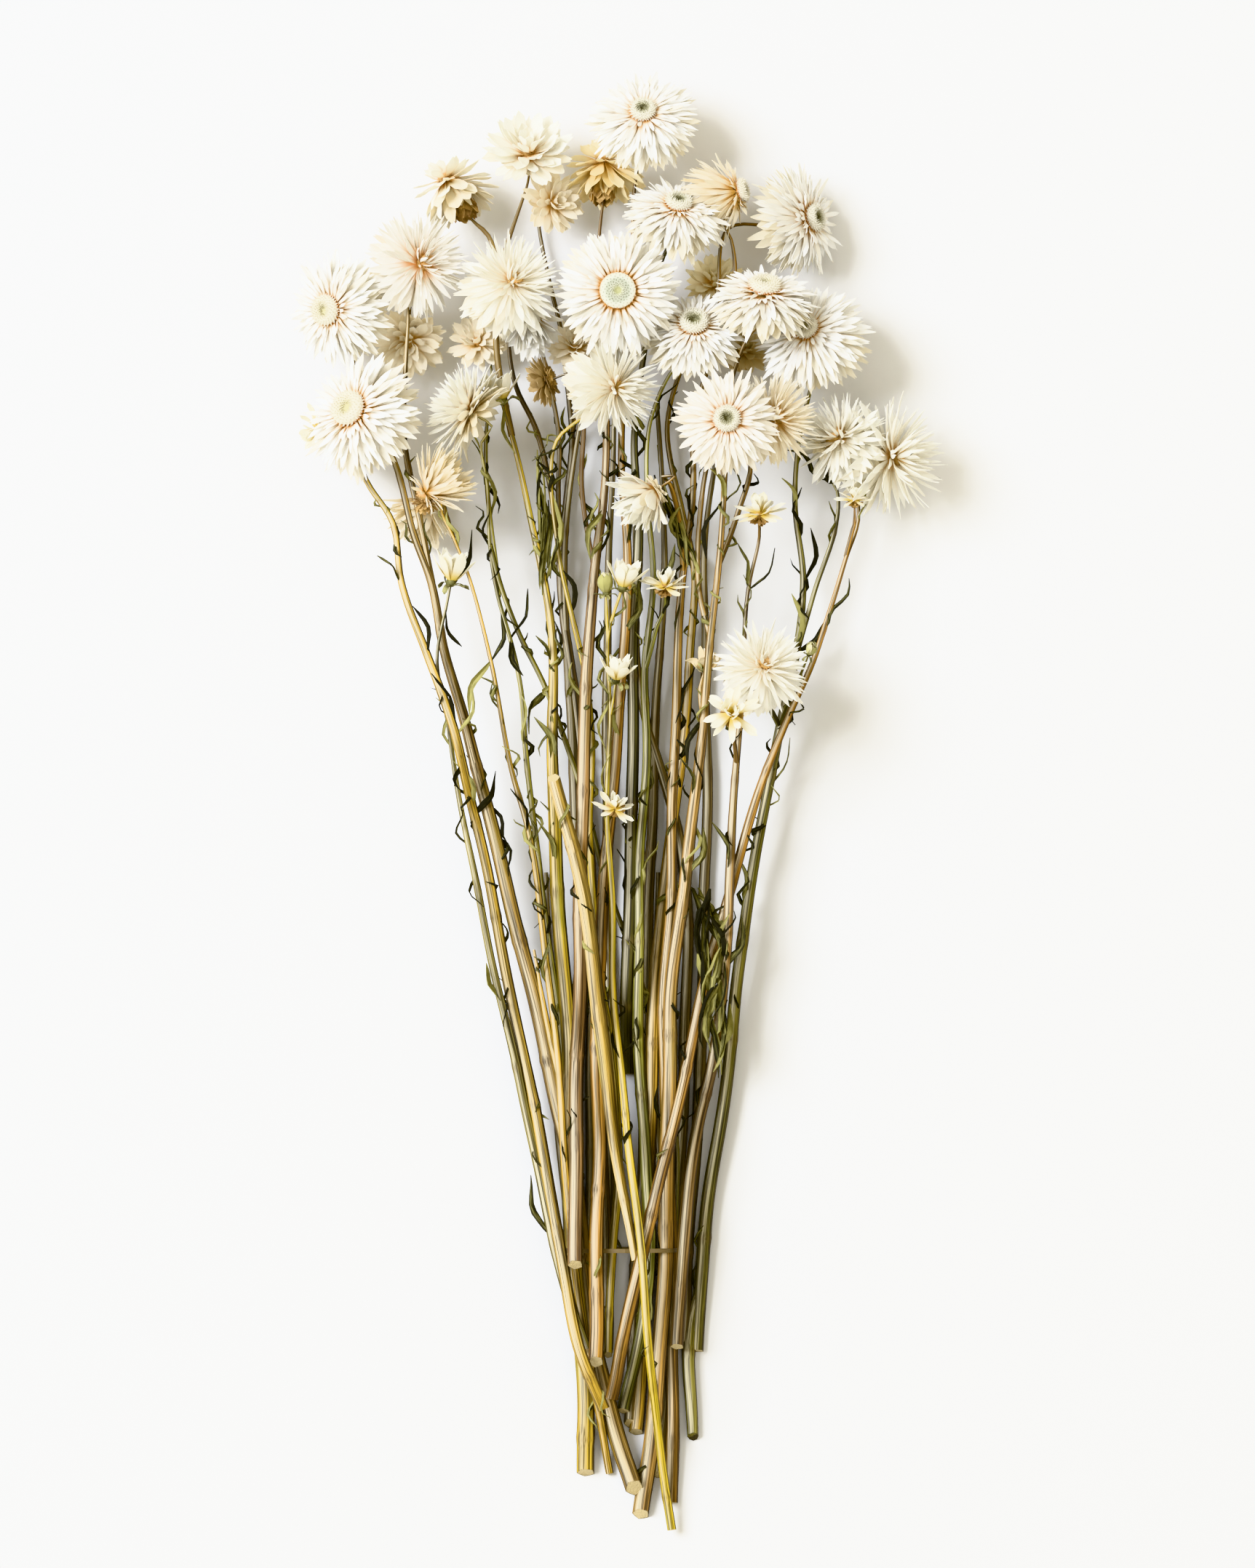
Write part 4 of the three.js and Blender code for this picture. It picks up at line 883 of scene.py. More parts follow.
STEMS = {
    "stem_dark_brown": [
        length(3.8, 2.2, "bloom_05", [
            (-3, -191.4, 3.2), (-3.6, -150.1, 3.4), (-4.9, -108.9, 2.9), (-6.9, -67.6, 3.2),
            (-9.1, -26.4, 3.6), (-11.3, 6.6, 4), (-13.8, 28.6, 4.3), (-17.3, 56.1, 4.7),
            (-19, 69.9, 4.9), (-20.4, 94.6, 5.2), (-18.4, 116.6, 5.5), (-16.2, 138.6, 5.8),
            (-17.6, 157.9, 6), (-20.6, 179.9, 6.3), (-24.5, 196.4, 6.6), (-28.8, 225, 6.9),
            (-25.5, 226.2, 13),
        ]),
        length(1.8, 1.5, "bloom_14", [
            (-20.4, 94.6, 5.2), (-21.2, 116.6, 8.1), (-21.2, 138.6, 11.1), (-25, 160.6, 14.1),
            (-30, 182.6, 17.2), (-32.2, 191.1, 20.4), (-32.2, 185.7, 24.9),
        ]),
        length(2, 1.8, "bloom_10", [
            (-20.4, 94.6, 5.2), (-25.6, 124.9, 12.1), (-30, 142.5, 16.2), (-37.1, 157.9, 20),
            (-40.4, 177.1, 24.4), (-40.3, 192.5, 31.8), (-39, 194.8, 38.3),
        ]),
        length(1.8, 1.6, "bloom_23", [
            (-16.2, 138.6, 5.8), (-14, 152.4, 27.8), (-16.8, 161.7, 33.9), (-23.1, 160, 31.5),
        ]),
    ],
    "stem_thin_green_pair": [
        length(1.9, 1.7, "bloom_21", [
            (-11, -188.6, 0.7), (-13.5, -150.1, 4.9), (-19, -100.6, 10.4), (-24.5, -53.9, 15.5),
            (-30, -12.6, 20.1), (-33.3, 17.6, 23.4), (-35.5, 42.4, 26.1), (-39.3, 61.6, 28.2),
            (-43.7, 78.1, 30.1), (-47, 97.4, 32.2), (-48.4, 119.4, 34.7), (-50.3, 135.9, 36.5),
            (-46.2, 141.9, 37.3), (-51.9, 145.9, 36.7),
        ]),
        length(1.7, 1.5, "bloom_45", [
            (-43.7, 78.1, 30.1), (-47, 108.4, 18.9), (-48.7, 138.6, 10.4), (-47, 157.9, 6.5),
            (-47.2, 166.7, 5.1), (-49.9, 171.4, 9.6),
        ]),
        length(1.8, 2.2, None, [
            (-47, 97.4, 32.2), (-42.6, 80.9, 30.6), (-36, 63.2, 28.9), (-25.6, 42.4, 26.6),
            (-15.7, 14.9, 23.9), (-4.4, -26.4, 19.8), (5.5, -53.9, 17.1), (14.6, -84.1, 14.1),
            (21.2, -108.9, 11.7), (23.6, -130.9, 9.6), (23.4, -158.4, 7),
        ]),
    ],
    "stem_yellow_curved": [
        length(3.2, 1.8, "bloom_22", [
            (-2.5, -209.3, 5.8), (-0.8, -169.4, 8.5), (1.9, -136.4, 10.1), (-1.4, -95.1, 14.1),
            (-6.3, -53.9, 18.8), (-9.6, -15.4, 24), (-8.5, 20.4, 26.7), (-11.3, 49.5, 29.4),
            (-16.2, 72.6, 31.9), (-21.2, 94.6, 34.3), (-24.2, 119.4, 36.9), (-21.7, 136.4, 38.8),
            (-9.6, 148, 40.6), (-10.3, 158, 41.7), (-4, 156.9, 44.7),
        ]),
    ],
    "stem_pale_tan": [
        length(4.4, 2.4, "bloom_18", [
            (8.2, -238.7, 1.6), (11, -205.1, 2.9), (12.6, -169.4, 5.4), (13.5, -122.6, 13.1),
            (14.9, -81.4, 18.2), (17.6, -40.1, 7.6), (23.4, 1.1, 5.2), (26.9, 31.4, 4.7),
            (28.9, 58.9, 4.7), (30, 86.4, 4.8), (25.6, 111.1, 5.1), (20.1, 144.1, 5.4),
            (27.2, 170, 5.6), (37.7, 187.3, 5.8), (37.7, 193.4, 9.3),
        ]),
    ],
    "stem_orange_brown": [
        length(4.4, 2, "bloom_08", [
            (21.4, -265.6, 1.6), (22, -218.9, 4.8), (21.2, -163.9, 9.4), (19.5, -114.4, 15.8),
            (18.7, -75.9, 20.8), (21.2, -37.4, 16.8), (22.3, 6.6, 17.6), (23.9, 56.1, 19.7),
            (25.9, 86.4, 21.2), (29.7, 116.6, 22.8), (30.5, 146.9, 24.1), (36.6, 171.6, 24.7),
            (39.3, 194.7, 23.7), (43.2, 217.2, 18.9), (61.9, 218.4, 13.5), (67.9, 219.7, 17),
        ]),
        length(1.6, 1.5, "bloom_07", [
            (36.6, 171.6, 24.7), (45.1, 196.4, 26.3), (44.3, 212.9, 27.3), (41.1, 219.8, 27.8),
            (44.3, 225.9, 29),
        ]),
        length(2, 1.8, "bloom_31", [
            (25.9, 86.4, 21.2), (24.5, 107.2, 30.2), (20.6, 120.5, 36.2), (17.9, 123.2, 37.8),
            (22.7, 122.9, 39.9), (17, 118.9, 41.1),
        ]),
    ],
}
print("stems so far", len(STEMS))
# %% Routes of the five stems above them
STEMS |= {
    "stem_pale_mauve": [
        length(5.2, 3, "bloom_24", [
            (9.9, -269.8, 1.9), (15.1, -232.6, 6.1), (18.4, -191.4, 11), (19.8, -144.6, 17),
            (20.9, -103.4, 22.5), (21.7, -66.3, 25.1), (26.7, -29.1, 26.9), (30.5, 1.1, 29.5),
            (33.3, 31.4, 32.4), (36.3, 61.6, 35.3), (39.1, 89.1, 38.1), (41.2, 113.9, 40.6),
            (42.5, 141.6, 43.4), (42.3, 142.8, 50.3),
        ]),
        length(2, 1.6, "bloom_44", [
            (36.3, 61.6, 35.3), (31.4, 83.6, 29.5), (33.3, 116.6, 21), (39.9, 146.9, 13),
            (45, 162.1, 8.8), (47.1, 167.8, 12.3),
        ]),
        length(2, 1.8, "bloom_25", [
            (39.1, 89.1, 38.1), (46.5, 110, 30.5), (51.4, 124.9, 29.9), (51.4, 138.7, 32),
            (57.3, 142.4, 38),
        ]),
        length(1.8, 1.6, "bloom_16", [
            (41.2, 113.9, 40.6), (40.4, 138.6, 36), (44.8, 160.6, 35.3), (50.9, 176, 37.3),
            (55.3, 180.8, 39.2), (55.8, 187, 42.5),
        ]),
        length(1.5, 1.4, None, [
            (33.3, 31.4, 32.4), (32.2, 43.5, 28.2), (33.8, 49.5, 26),
        ], bud=3.2),
    ],
    "stem_dark_olive": [
        length(4.2, 2.4, "bloom_06", [
            (4.7, -102.9, 1.6), (4.9, -67.6, 22.6), (6.1, -20.9, 17.9), (6.9, 28.6, 15.6),
            (7.4, 67.1, 17.4), (8.8, 105.6, 20.2), (7.7, 138.6, 23), (11.3, 171.6, 25.9),
            (17.3, 203, 28.6), (21.9, 213.8, 29.7), (22.9, 219.4, 33.7),
        ]),
    ],
    "stem_green": [
        length(4, 2, "bloom_15", [
            (3.3, -230.7, 4), (9.1, -205.1, 7.3), (13.8, -169.4, 10.4), (11.8, -136.4, 16),
            (9.6, -103.4, 17.7), (9.1, -62.1, 24.2), (9.6, -20.9, 19.8), (12.1, 17.6, 18.4),
            (11.8, 50.6, 19.4), (14.3, 83.6, 21), (12.4, 116.6, 22.7), (13.5, 144.1, 24.9),
            (20.6, 161.7, 27.2), (29.4, 171.3, 30.2), (29.5, 175.8, 35.5),
        ]),
        length(1.7, 1.5, "star_35", [
            (11.8, 50.6, 19.4), (15.9, 67.1, 28.4), (19, 73.4, 32.1), (19, 78.7, 36.6),
        ]),
    ],
    "stem_left_stout": [
        length(5, 3.6, "bloom_19", [
            (7.4, -259.6, 7.1), (-0.3, -235.4, 6), (-8, -205.1, 7.4), (-11.6, -174.9, 8.6),
            (-16.5, -136.4, 11), (-22.3, -108.9, 12.9), (-30.5, -73.1, 15.5),
            (-38.8, -40.1, 17.9), (-48.7, 1.1, 21), (-55.8, 28.6, 23), (-64.3, 56.1, 25.1),
            (-68.8, 83.1, 27.1), (-76.2, 102.9, 28.8), (-82.8, 127.6, 30.8), (-90, 142.6, 32.2),
            (-94.1, 145, 37.4),
        ]),
        length(2.2, 1.6, "bloom_09", [
            (-68.8, 83.1, 27.1), (-74, 108.4, 28.6), (-78.9, 135.9, 29.3), (-78.9, 166.1, 30.3),
            (-78.4, 188.1, 29.2), (-80.1, 197.8, 27.2), (-76, 200.7, 32.1),
        ]),
        length(1.5, 1.4, "bloom_13", [
            (-78.4, 188.1, 29.2), (-76.7, 195.2, 19.3), (-77.3, 192, 12.5), (-77.8, 186.1, 7.4),
            (-77.8, 179.8, 10.4),
        ]),
    ],
    "stem_yellow_stout": [
        length(4.8, 3.2, None, [
            (-11, -254.1, 1.8), (-11, -224.4, 8.1), (-13.5, -191.4, 11.8), (-16.2, -163.9, 13.7),
            (-17.6, -136.4, 17.4), (-16.8, -97.9, 14.9), (-19.5, -62.1, 15.6), (-22, -26.4, 19.5),
            (-23.1, 14.9, 29.6), (-23.4, 53.4, 29.5), (-26.4, 83.6, 24.4), (-32.4, 111.1, 24.4),
            (-38.8, 138.6, 25.4), (-42.1, 150.7, 26),
        ], bud=4.2),
        length(2.2, 1.6, "bloom_02", [
            (-38.8, 138.6, 25.4), (-44.8, 171.6, 25.3), (-43.2, 199.1, 23.4),
            (-32.7, 236.7, 16.7), (-32.7, 241.6, 21.7),
        ]),
        length(1.5, 1.4, "bloom_03", [
            (-43.2, 199.1, 23.4), (-47.6, 214.5, 21.7), (-54.4, 221.1, 20.7), (-57.7, 227, 18.9),
        ]),
    ],
}
print("stems so far", len(STEMS))
# %% Routes of the five stems above those
STEMS |= {
    "stem_thin_straw": [
        length(2.4, 1.8, "bloom_29", [
            (-1.9, -254.6, 1.2), (-8.2, -218.9, 12.9), (-13.5, -185.9, 16.3),
            (-17.9, -150.1, 21.4), (-20.4, -108.9, 20.2), (-24.8, -67.6, 21.3),
            (-32.2, -12.6, 25.6), (-39.1, 14.9, 28.2), (-47, 53.4, 32.1), (-54.2, 83.6, 35.1),
            (-60.8, 100.1, 36.9), (-65.2, 109.5, 37.9), (-65.2, 116.1, 40.3),
        ]),
        length(1.6, 1.5, "bloom_30", [
            (-60.8, 100.1, 36.9), (-65.7, 116.6, 17.2), (-67.6, 123.1, 9.4), (-70, 116.6, 10.6),
        ]),
        length(2.2, 2, None, [
            (-20.4, -108.9, 20.2), (-25.6, -81.4, 20.1), (-30.5, -55.5, 20),
        ]),
    ],
    "stem_left_under": [
        length(3, 1.8, None, [
            (-10.2, -207.1, 19.8), (-17.9, -185.9, 15.8), (-23.9, -163.9, 12.7),
            (-29.1, -136.4, 11.8), (-35.5, -108.9, 13.8), (-42.6, -75.9, 17.3),
            (-49.8, -42.9, 21.1), (-57.5, -4.4, 25.7), (-63, 29.7, 29.8), (-66.8, 53.4, 32.6),
            (-63.5, 72.6, 34.9), (-61.9, 82, 36),
        ], bud=4.4),
    ],
    "stem_cut_short": [
        length(4, 5.2, None, [
            (-23.1, 9.4, 40), (-14.6, -22.5, 41), (-9.1, -51.1, 38), (-5.8, -84.1, 31),
            (-1.6, -117.1, 21), (3, -147.4, 17), (7.7, -173, 23.9),
        ]),
    ],
    "stem_orange_tan": [
        length(4.6, 2, "bloom_01", [
            (-7.1, -211.2, 23.2), (-6.6, -169.4, 23.7), (-5.8, -130.9, 16.8), (-6.6, -92.4, 27.3),
            (-5.2, -53.9, 28.5), (-1.9, -7.1, 19.8), (1.4, 28.6, 16.9), (4.1, 64.4, 20.7),
            (4.7, 97.4, 19.9), (2.5, 130.4, 18), (3.6, 166.1, 18.6), (6.3, 204.6, 19.9),
            (7.4, 233.8, 21), (11.5, 252.2, 21.8), (11.1, 256.2, 27.6),
        ]),
    ],
    "stem_olive_right": [
        length(4.4, 2.2, "bloom_17", [
            (31.1, -207.9, 1.6), (32.7, -180.4, 3), (35.5, -152.9, 4.4), (39.9, -122.6, 5.9),
            (44.3, -89.6, 7.5), (47.3, -62.1, 8.9), (50.9, -34.6, 10.2), (56.9, -1.6, 11.9),
            (62.4, 28.6, 13.4), (69.3, 57.5, 14.9), (71.2, 83.6, 16.2), (68.2, 111.1, 17.5),
            (70.1, 138.1, 18.9), (76.7, 171.2, 20.5), (74.7, 174.7, 26.3),
        ]),
        length(1.8, 1.6, "bloom_26", [
            (69.3, 57.5, 14.9), (75.6, 80.9, 16.7), (83.9, 104.5, 18.7), (84.4, 118.2, 19.8),
            (77, 128.8, 20.8), (80.1, 134.1, 24.2),
        ]),
        length(2, 1.8, "bloom_36", [
            (62.4, 28.6, 13.4), (57.5, 38, 24.5), (54.1, 43.3, 31.2), (54.7, 46.6, 37.4),
        ]),
        length(1.6, 1.4, None, [
            (62.4, 28.6, 13.4), (69.3, 46.8, 32.6), (72.9, 55.6, 42),
        ], bud=3),
        length(4.2, 5, None, [
            (29.7, -240.4, 2.4), (28.1, -207.9, 2.6), (32.7, -180.4, 3),
        ]),
    ],
}
print("stems so far", len(STEMS))
# %% Routes of the five stems on top
STEMS |= {
    "stem_orange_right": [
        length(4.2, 2, "bloom_27", [
            (-1.1, -225.8, 11.3), (5.8, -191.4, 26.2), (13.2, -158.4, 28.8), (22, -122.6, 25.9),
            (29.7, -88.5, 20.5), (37.7, -53.9, 20.7), (47, -20.9, 23.1), (56.4, 9.4, 26.1),
            (65.7, 33, 29.1), (75.1, 53.4, 29.4), (81.7, 74.2, 26.8), (87.2, 93, 23.3),
            (92.1, 106.7, 20.3), (92.8, 130.9, 15.2), (99.3, 130.9, 17.5),
        ]),
        length(1.5, 1.4, "star_28", [
            (87.2, 93, 23.3), (89.9, 102.9, 25.7), (90.5, 105.1, 26.2), (90.5, 111.7, 28.6),
        ]),
    ],
    "stem_mauve_right": [
        length(4.2, 2, "star_32", [
            (23.6, -206, 10.6), (26.4, -163.9, 16.4), (31.6, -122.6, 12.8), (37.4, -95.1, 15.5),
            (42.1, -62.1, 23.7), (43.4, -26.4, 26.5), (45.9, 14.9, 24.1), (48.7, 50.6, 25.8),
            (50.6, 80.9, 28.1), (54.4, 100.5, 29.8), (54.4, 105.8, 34.3),
        ]),
        length(1.6, 1.5, "star_37", [
            (45.9, 14.9, 24.1), (45.5, 19.6, 29), (44.8, 26, 39.5), (44.1, 31.2, 50.5),
        ]),
    ],
    "stem_left_pale": [
        length(4.2, 2.4, "bloom_12", [
            (-4.1, -229.4, 18.4), (-12.9, -207.9, 28.2), (-18.7, -177.6, 23.3),
            (-24.2, -150.1, 16.7), (-29.7, -117.1, 13.7), (-37.1, -84.1, 13.6),
            (-45.4, -40.1, 17.1), (-53.1, -4.4, 23.2), (-59.9, 25.9, 36.4), (-70.9, 56.1, 33.8),
            (-80.6, 83.6, 24.8), (-83.9, 105.6, 22.3), (-93.8, 122.1, 18.3),
            (-101.5, 145.5, 16.2), (-99.3, 166.1, 18.1), (-98.6, 186.7, 22.6), (-103, 186.3, 28),
        ]),
        length(1.5, 1.4, "star_20", [
            (-93.8, 122.1, 18.3), (-103.1, 131.5, 14.9), (-102.9, 144, 11.6), (-108.6, 142, 15.1),
        ]),
    ],
    "stem_mauve_stout": [
        length(4.6, 3.2, "bloom_11", [
            (-14.9, -174.4, 26.7), (-14.6, -136.4, 22), (-14, -97.9, 19.1), (-12.9, -59.4, 31.8),
            (-12.6, -20.9, 35.5), (-11.3, 23.1, 33.8), (-10.2, 56.1, 33), (-7.4, 86.4, 25.9),
            (-4.4, 111.1, 25.1), (-3.3, 138.6, 24.5), (-2.5, 166.1, 28), (0.9, 191.4, 37.3),
            (1, 191.9, 44.3),
        ]),
        length(1.8, 1.6, "bloom_46", [
            (-7.4, 86.4, 25.9), (-12.6, 119.4, 19.5), (-11.3, 146.9, 13.8), (-13.2, 163.9, 9.1),
            (-14.1, 169.2, 13.6),
        ]),
        length(1.9, 1.6, "bloom_04", [
            (-3.3, 138.6, 24.5), (-5.5, 177.1, 18.7), (-5.8, 212.9, 16.6), (-4.4, 230.9, 19.7),
            (-4.4, 237.4, 17.3),
        ]),
    ],
    "stem_front_pale": [
        length(4.6, 1.9, None, [
            (21.7, -275.8, 4.1), (17.1, -243.6, 12.1), (12.9, -202.4, 31.3), (8.5, -155.6, 32.7),
            (3.6, -111.6, 24.1), (-0.3, -75.9, 25.1), (-0.8, -40.1, 28.1), (-2.5, -7.1, 30.9),
            (-1.9, 31.4, 34.8), (-2.5, 61.6, 38), (2.5, 79.8, 40),
        ], bud=4),
        length(1.5, 1.4, None, [
            (-2.5, 61.6, 38), (-3.3, 78.1, 40),
        ], bud=4),
        length(1.5, 1.4, None, [
            (-1.9, 31.4, 34.8), (0.3, 45.1, 38),
        ], bud=3.6),
        length(1.5, 1.4, "star_39", [
            (-2.5, -7.1, 30.9), (-0.8, -4.4, 26.3), (0.3, -4.2, 24.6), (0.3, -2.3, 31.4),
        ]),
    ],
}
print(len(STEMS), "stems with", sum(len(parts) for parts in STEMS.values()), "lengths")
# %% [markdown]
# ## Leaves that the solids have
# The larger leaves are listed by their root on the stem, their tip, how far the tip rises and their
# width. The two points between are worked out as for the solids: they lie aside of the straight
# way, so that every leaf bows, and they climb sooner than the tip does.
# %% The line of a leaf from its root to its tip
BOW = 0.16  # how far the middle lies aside, as a share of the way from root to tip
CLIMB = 0.45, 0.75  # the share of the rise that the two points between have


def leaf(root, tip, rise, width=2.6, bow=BOW):
    return root, tip, rise, width, bow


def leaf_line(name, root, tip, rise, bow):
    """The four points that bend a leaf, from the spot of its stem that is nearest to root."""
    spots = [spot for part in STEMS[name] for spot in part[3]]
    start = Vector(min(spots, key=lambda spot: math.dist(spot[:2], root)))
    end = Vector((*tip, start.z + rise))
    middle = start.lerp(end, 0.5) + bow * Vector((end.y - start.y, start.x - end.x, 0))
    quarter = start.lerp(middle, 0.5)
    quarter.z, middle.z = (start.z + share * rise for share in CLIMB)
    return [start, quarter, middle, end]


print("the middle of a leaf lies aside by", BOW, "of its length")
# %% Leaves of the stems
LEAVES = {
    "stem_thin_green_pair": [
        leaf((-39.3, 61.6), (-32.7, 80.9), 5, 2.4),
        leaf((-39.3, 61.6), (-34.4, 47.9), 4, 2.4),
        leaf((-25.6, 42.4), (-32.2, 25.9), 5, 3.6),
    ],
    "stem_yellow_curved": [
        leaf((-16.2, 72.6), (-19.5, 87.5), 6),
    ],
    "stem_pale_mauve": [
        leaf((41.2, 113.9), (34.4, 91.9), 4, 2.8),
        leaf((41.2, 113.9), (35.5, 126), 3, 2.4),
        leaf((30.5, 1.1), (24.5, 17.6), 5),
        leaf((26.7, -29.1), (33.3, -9.3), 5, 3),
        leaf((33.3, 31.4), (27.2, 13.2), 5, 2.4),
    ],
    "stem_green": [
        leaf((14.3, 83.6), (22.8, 97.9), 8),
    ],
    "stem_yellow_stout": [
        leaf((-42.1, 150.7), (-37.7, 131.7), 4),
        leaf((-26.4, 83.6), (-25, 122.1), 8, 2.4),
        leaf((-23.4, 53.4), (-29.7, 63.2), 5),
        leaf((-23.1, 14.9), (-30.5, 32.5), 5, 3),
        leaf((-22, -26.4), (-29.4, -6), 9, 2.8),
    ],
    "stem_thin_straw": [
        leaf((-47, 53.4), (-42.9, 71.5), 5, 2.4),
        leaf((-47, 53.4), (-54.7, 33), 4),
        leaf((-32.2, -12.6), (-39.3, 5.5), 4, 2.4),
    ],
}
print("stems with leaves so far", len(LEAVES))
# %% Leaves of the stems above them
LEAVES |= {
    "stem_left_under": [
        leaf((-61.9, 82), (-53.6, 102.9), 5),
        leaf((-63.5, 72.6), (-57.5, 58.9), 3, 2.4),
        leaf((-42.6, -75.9), (-48.7, -60.5), 4, 3, bow=-BOW),
        leaf((-23.9, -163.9), (-31.9, -140.8), 2, 2.4, bow=-BOW),
    ],
    "stem_orange_tan": [
        leaf((4.7, 97.4), (0, 115), 5),
        leaf((4.1, 64.4), (8.5, 83.6), 8, 2.8),
    ],
    "stem_olive_right": [
        leaf((69.3, 57.5), (66.8, 79.2), 6),
        leaf((71.2, 83.6), (74, 104), 4, 2.4),
        leaf((68.2, 111.1), (63, 122.7), 4, 2.4),
        leaf((69.3, 57.5), (78.9, 68.2), 3),
    ],
    "stem_mauve_right": [
        leaf((50.6, 80.9), (46.5, 97.9), 4, 2.4),
        leaf((50.6, 80.9), (60.2, 96.2), 6),
        leaf((37.4, -95.1), (43.7, -75.9), 5, 2.8),
        leaf((42.1, -62.1), (34.9, -41.8), 6),
        leaf((42.1, -62.1), (47.9, -42.9), 4, 2.4),
        leaf((43.4, -26.4), (36.6, -7.1), 5, 2.8),
    ],
    "stem_left_pale": [
        leaf((-80.6, 83.6), (-89.7, 93.5), 4),
        leaf((-70.9, 56.1), (-76.2, 74.2), 5),
        leaf((-59.9, 25.9), (-69, 49), 4, 2.8),
        leaf((-59.9, 25.9), (-54.2, 45.1), 5),
        leaf((-53.1, -4.4), (-61.3, 16), 9),
        leaf((-53.1, -4.4), (-44.8, 12.1), 5, 3),
    ],
    "stem_mauve_stout": [
        leaf((-4.4, 111.1), (-9.1, 91.9), 6),
    ],
}
print(sum(len(blades) for blades in LEAVES.values()), "leaves")
# %% [markdown]
# ## Colours of the stems
# No two stems dried alike: straw yellow, pale tan, orange brown, olive, mauve brown. Each has its
# light and dark streaks and the tint of the skin that is left on it. A stem's slot says which of
# the three stem finishes of the record it stands for.
# %% A light, dark and fresh colour for each stem
TINTS = {
    "stem_dark_brown": ("786137", "140E08", "54431A"), "stem_thin_green_pair": ("A29745", "252312", "6F6D26"),
    "stem_yellow_curved": ("D0B036", "2F2813", "8D7E2D"), "stem_pale_tan": ("C9A03C", "302516", "8F7B36"),
    "stem_orange_brown": ("AA823B", "281D0F", "7C6125"), "stem_pale_mauve": ("B28B48", "2A2217", "816E34"),
    "stem_dark_olive": ("5D572B", "110E08", "484317"), "stem_green": ("948F42", "222010", "716F26"),
    "stem_left_stout": ("9E7F3F", "271D11", "7A6725"), "stem_yellow_stout": ("C5A538", "2F2713", "878028"),
    "stem_thin_straw": ("CAA23F", "302717", "917D33"), "stem_left_under": ("8A7D42", "1F1C0F", "696222"),
    "stem_cut_short": ("CDAC5A", "3A2D16", "9A8A42"), "stem_orange_tan": ("B3853A", "2B1F11", "856928"),
    "stem_olive_right": ("887F3F", "1E1A0D", "696420"), "stem_orange_right": ("AB7F38", "281C11", "816529"),
    "stem_mauve_right": ("9F7F4B", "251D15", "766231"), "stem_left_pale": ("C3A042", "2D2617", "8B7B37"),
    "stem_mauve_stout": ("A27E4B", "251B13", "756032"), "stem_front_pale": ("DABC3A", "342D18", "90872C"),
}
SLOTS = {
    "stem_green": (
        "stem_green", "stem_thin_green_pair", "stem_left_under", "stem_olive_right", "stem_dark_olive",
    ),
    "stem_tan": (
        "stem_pale_tan", "stem_yellow_curved", "stem_yellow_stout", "stem_thin_straw", "stem_left_pale",
        "stem_front_pale", "stem_cut_short",
    ),
}


def slot_of(name):
    return next((slot for slot, names in SLOTS.items() if name in names), "stem_brown")


print("tints for", len(TINTS), "stems,", [slot_of(name) for name in TINTS].count("stem_brown"), "of them brown")
# %% [markdown]
# ## Buds
# A bud is a tiny head that never opened: short petals that close over one another above a round
# cup with a few narrow green leaves. It sits at the end of its twig, and the same petal and the
# same extrude make it.
# %% A bud
# Petals, rise in degrees, length in bud sizes, curl and how aged, from the outside in.
BUD_WHORLS = {
    "closed": ((7, 36, 3.0, 92, 0.9), (6, 50, 2.9, 72, 0.3)),
    "opening": ((6, 40, 3.0, 22, 0.3), (6, 56, 2.9, 20, 0.1), (4, 72, 2.5, 10, 0.1)),
    "withered": ((6, 30, 2.4, -30, 1.0), (6, 52, 2.7, 30, 0.9), (4, 70, 2.4, 20, 0.3)),
}
BUDS = {("stem_front_pale", 1): "closed", ("stem_olive_right", 3): "closed", ("stem_pale_mauve", 4): "withered"}
BUD_PETALS = {"closed": "bud", "opening": "star", "withered": "petal_yellow"}


def bud(name, form, points, size, chance):
    size *= 0.72 if form == "closed" else 1
    bm, marks = start_mesh()
    end, before = Vector(points[-1]), Vector(points[-2])
    way = (end - before).normalized()
    home = Matrix.Translation(end * MM) @ way.to_track_quat("Z", "Y").to_matrix().to_4x4()
    for count, rise, tall, curl, aged in BUD_WHORLS[form]:
        for n in range(count):
            angle = 2 * math.pi * (n + chance.uniform(-0.15, 0.15)) / count
            lay_petal(
                bm, marks, home, angle, size * 0.22, 0.3 * size, size * tall * chance.uniform(0.88, 1.06),
                size * 0.5, rise + chance.uniform(-6, 6), curl + chance.uniform(-8, 8), chance, aged,
                2.0 if form == "withered" else 0.3,
            )
    thicken(bm, marks)
    cup, cup_marks = start_mesh()
    middle = home @ Matrix.Translation((0, 0, 0.3 * size * MM))
    bmesh.ops.create_uvsphere(cup, u_segments=14, v_segments=8, radius=size * 0.46 * MM, matrix=middle)
    for n in range(6):
        lay_petal(
            cup, cup_marks, home, math.pi * n / 3 + chance.uniform(-0.3, 0.3), size * 0.4, 0, size * 1.3,
            size * 0.24, 30 + chance.uniform(-30, 30), chance.choice((-120, -60, 50)), chance, 0.9, 1.0,
        )
    thicken(cup, cup_marks)
    joined(bm, cup, 1)
    return piece(name, bm, [PETALS[BUD_PETALS[form]], SEPALS], "petal_cream")


print("forms of buds", list(BUD_WHORLS))
# %% [markdown]
# ## Small leaves and tangles
# Dozens of shrivelled leaves cling to the middle of the stems, and in three places they hang
# together in a tangle. Each one is laid as the larger leaves are, but along a line that is
# worked out: it starts on its stem and winds away from it, up or down.
# %% Small curled leaves that cling to the stems
LEAFY = (-95, 150)
LEAF_EVERY, BARE_EVERY, SPARSER = 18, 75, 1.9
BARER = ("stem_left_stout", "stem_left_under", "stem_left_pale", "stem_orange_right")


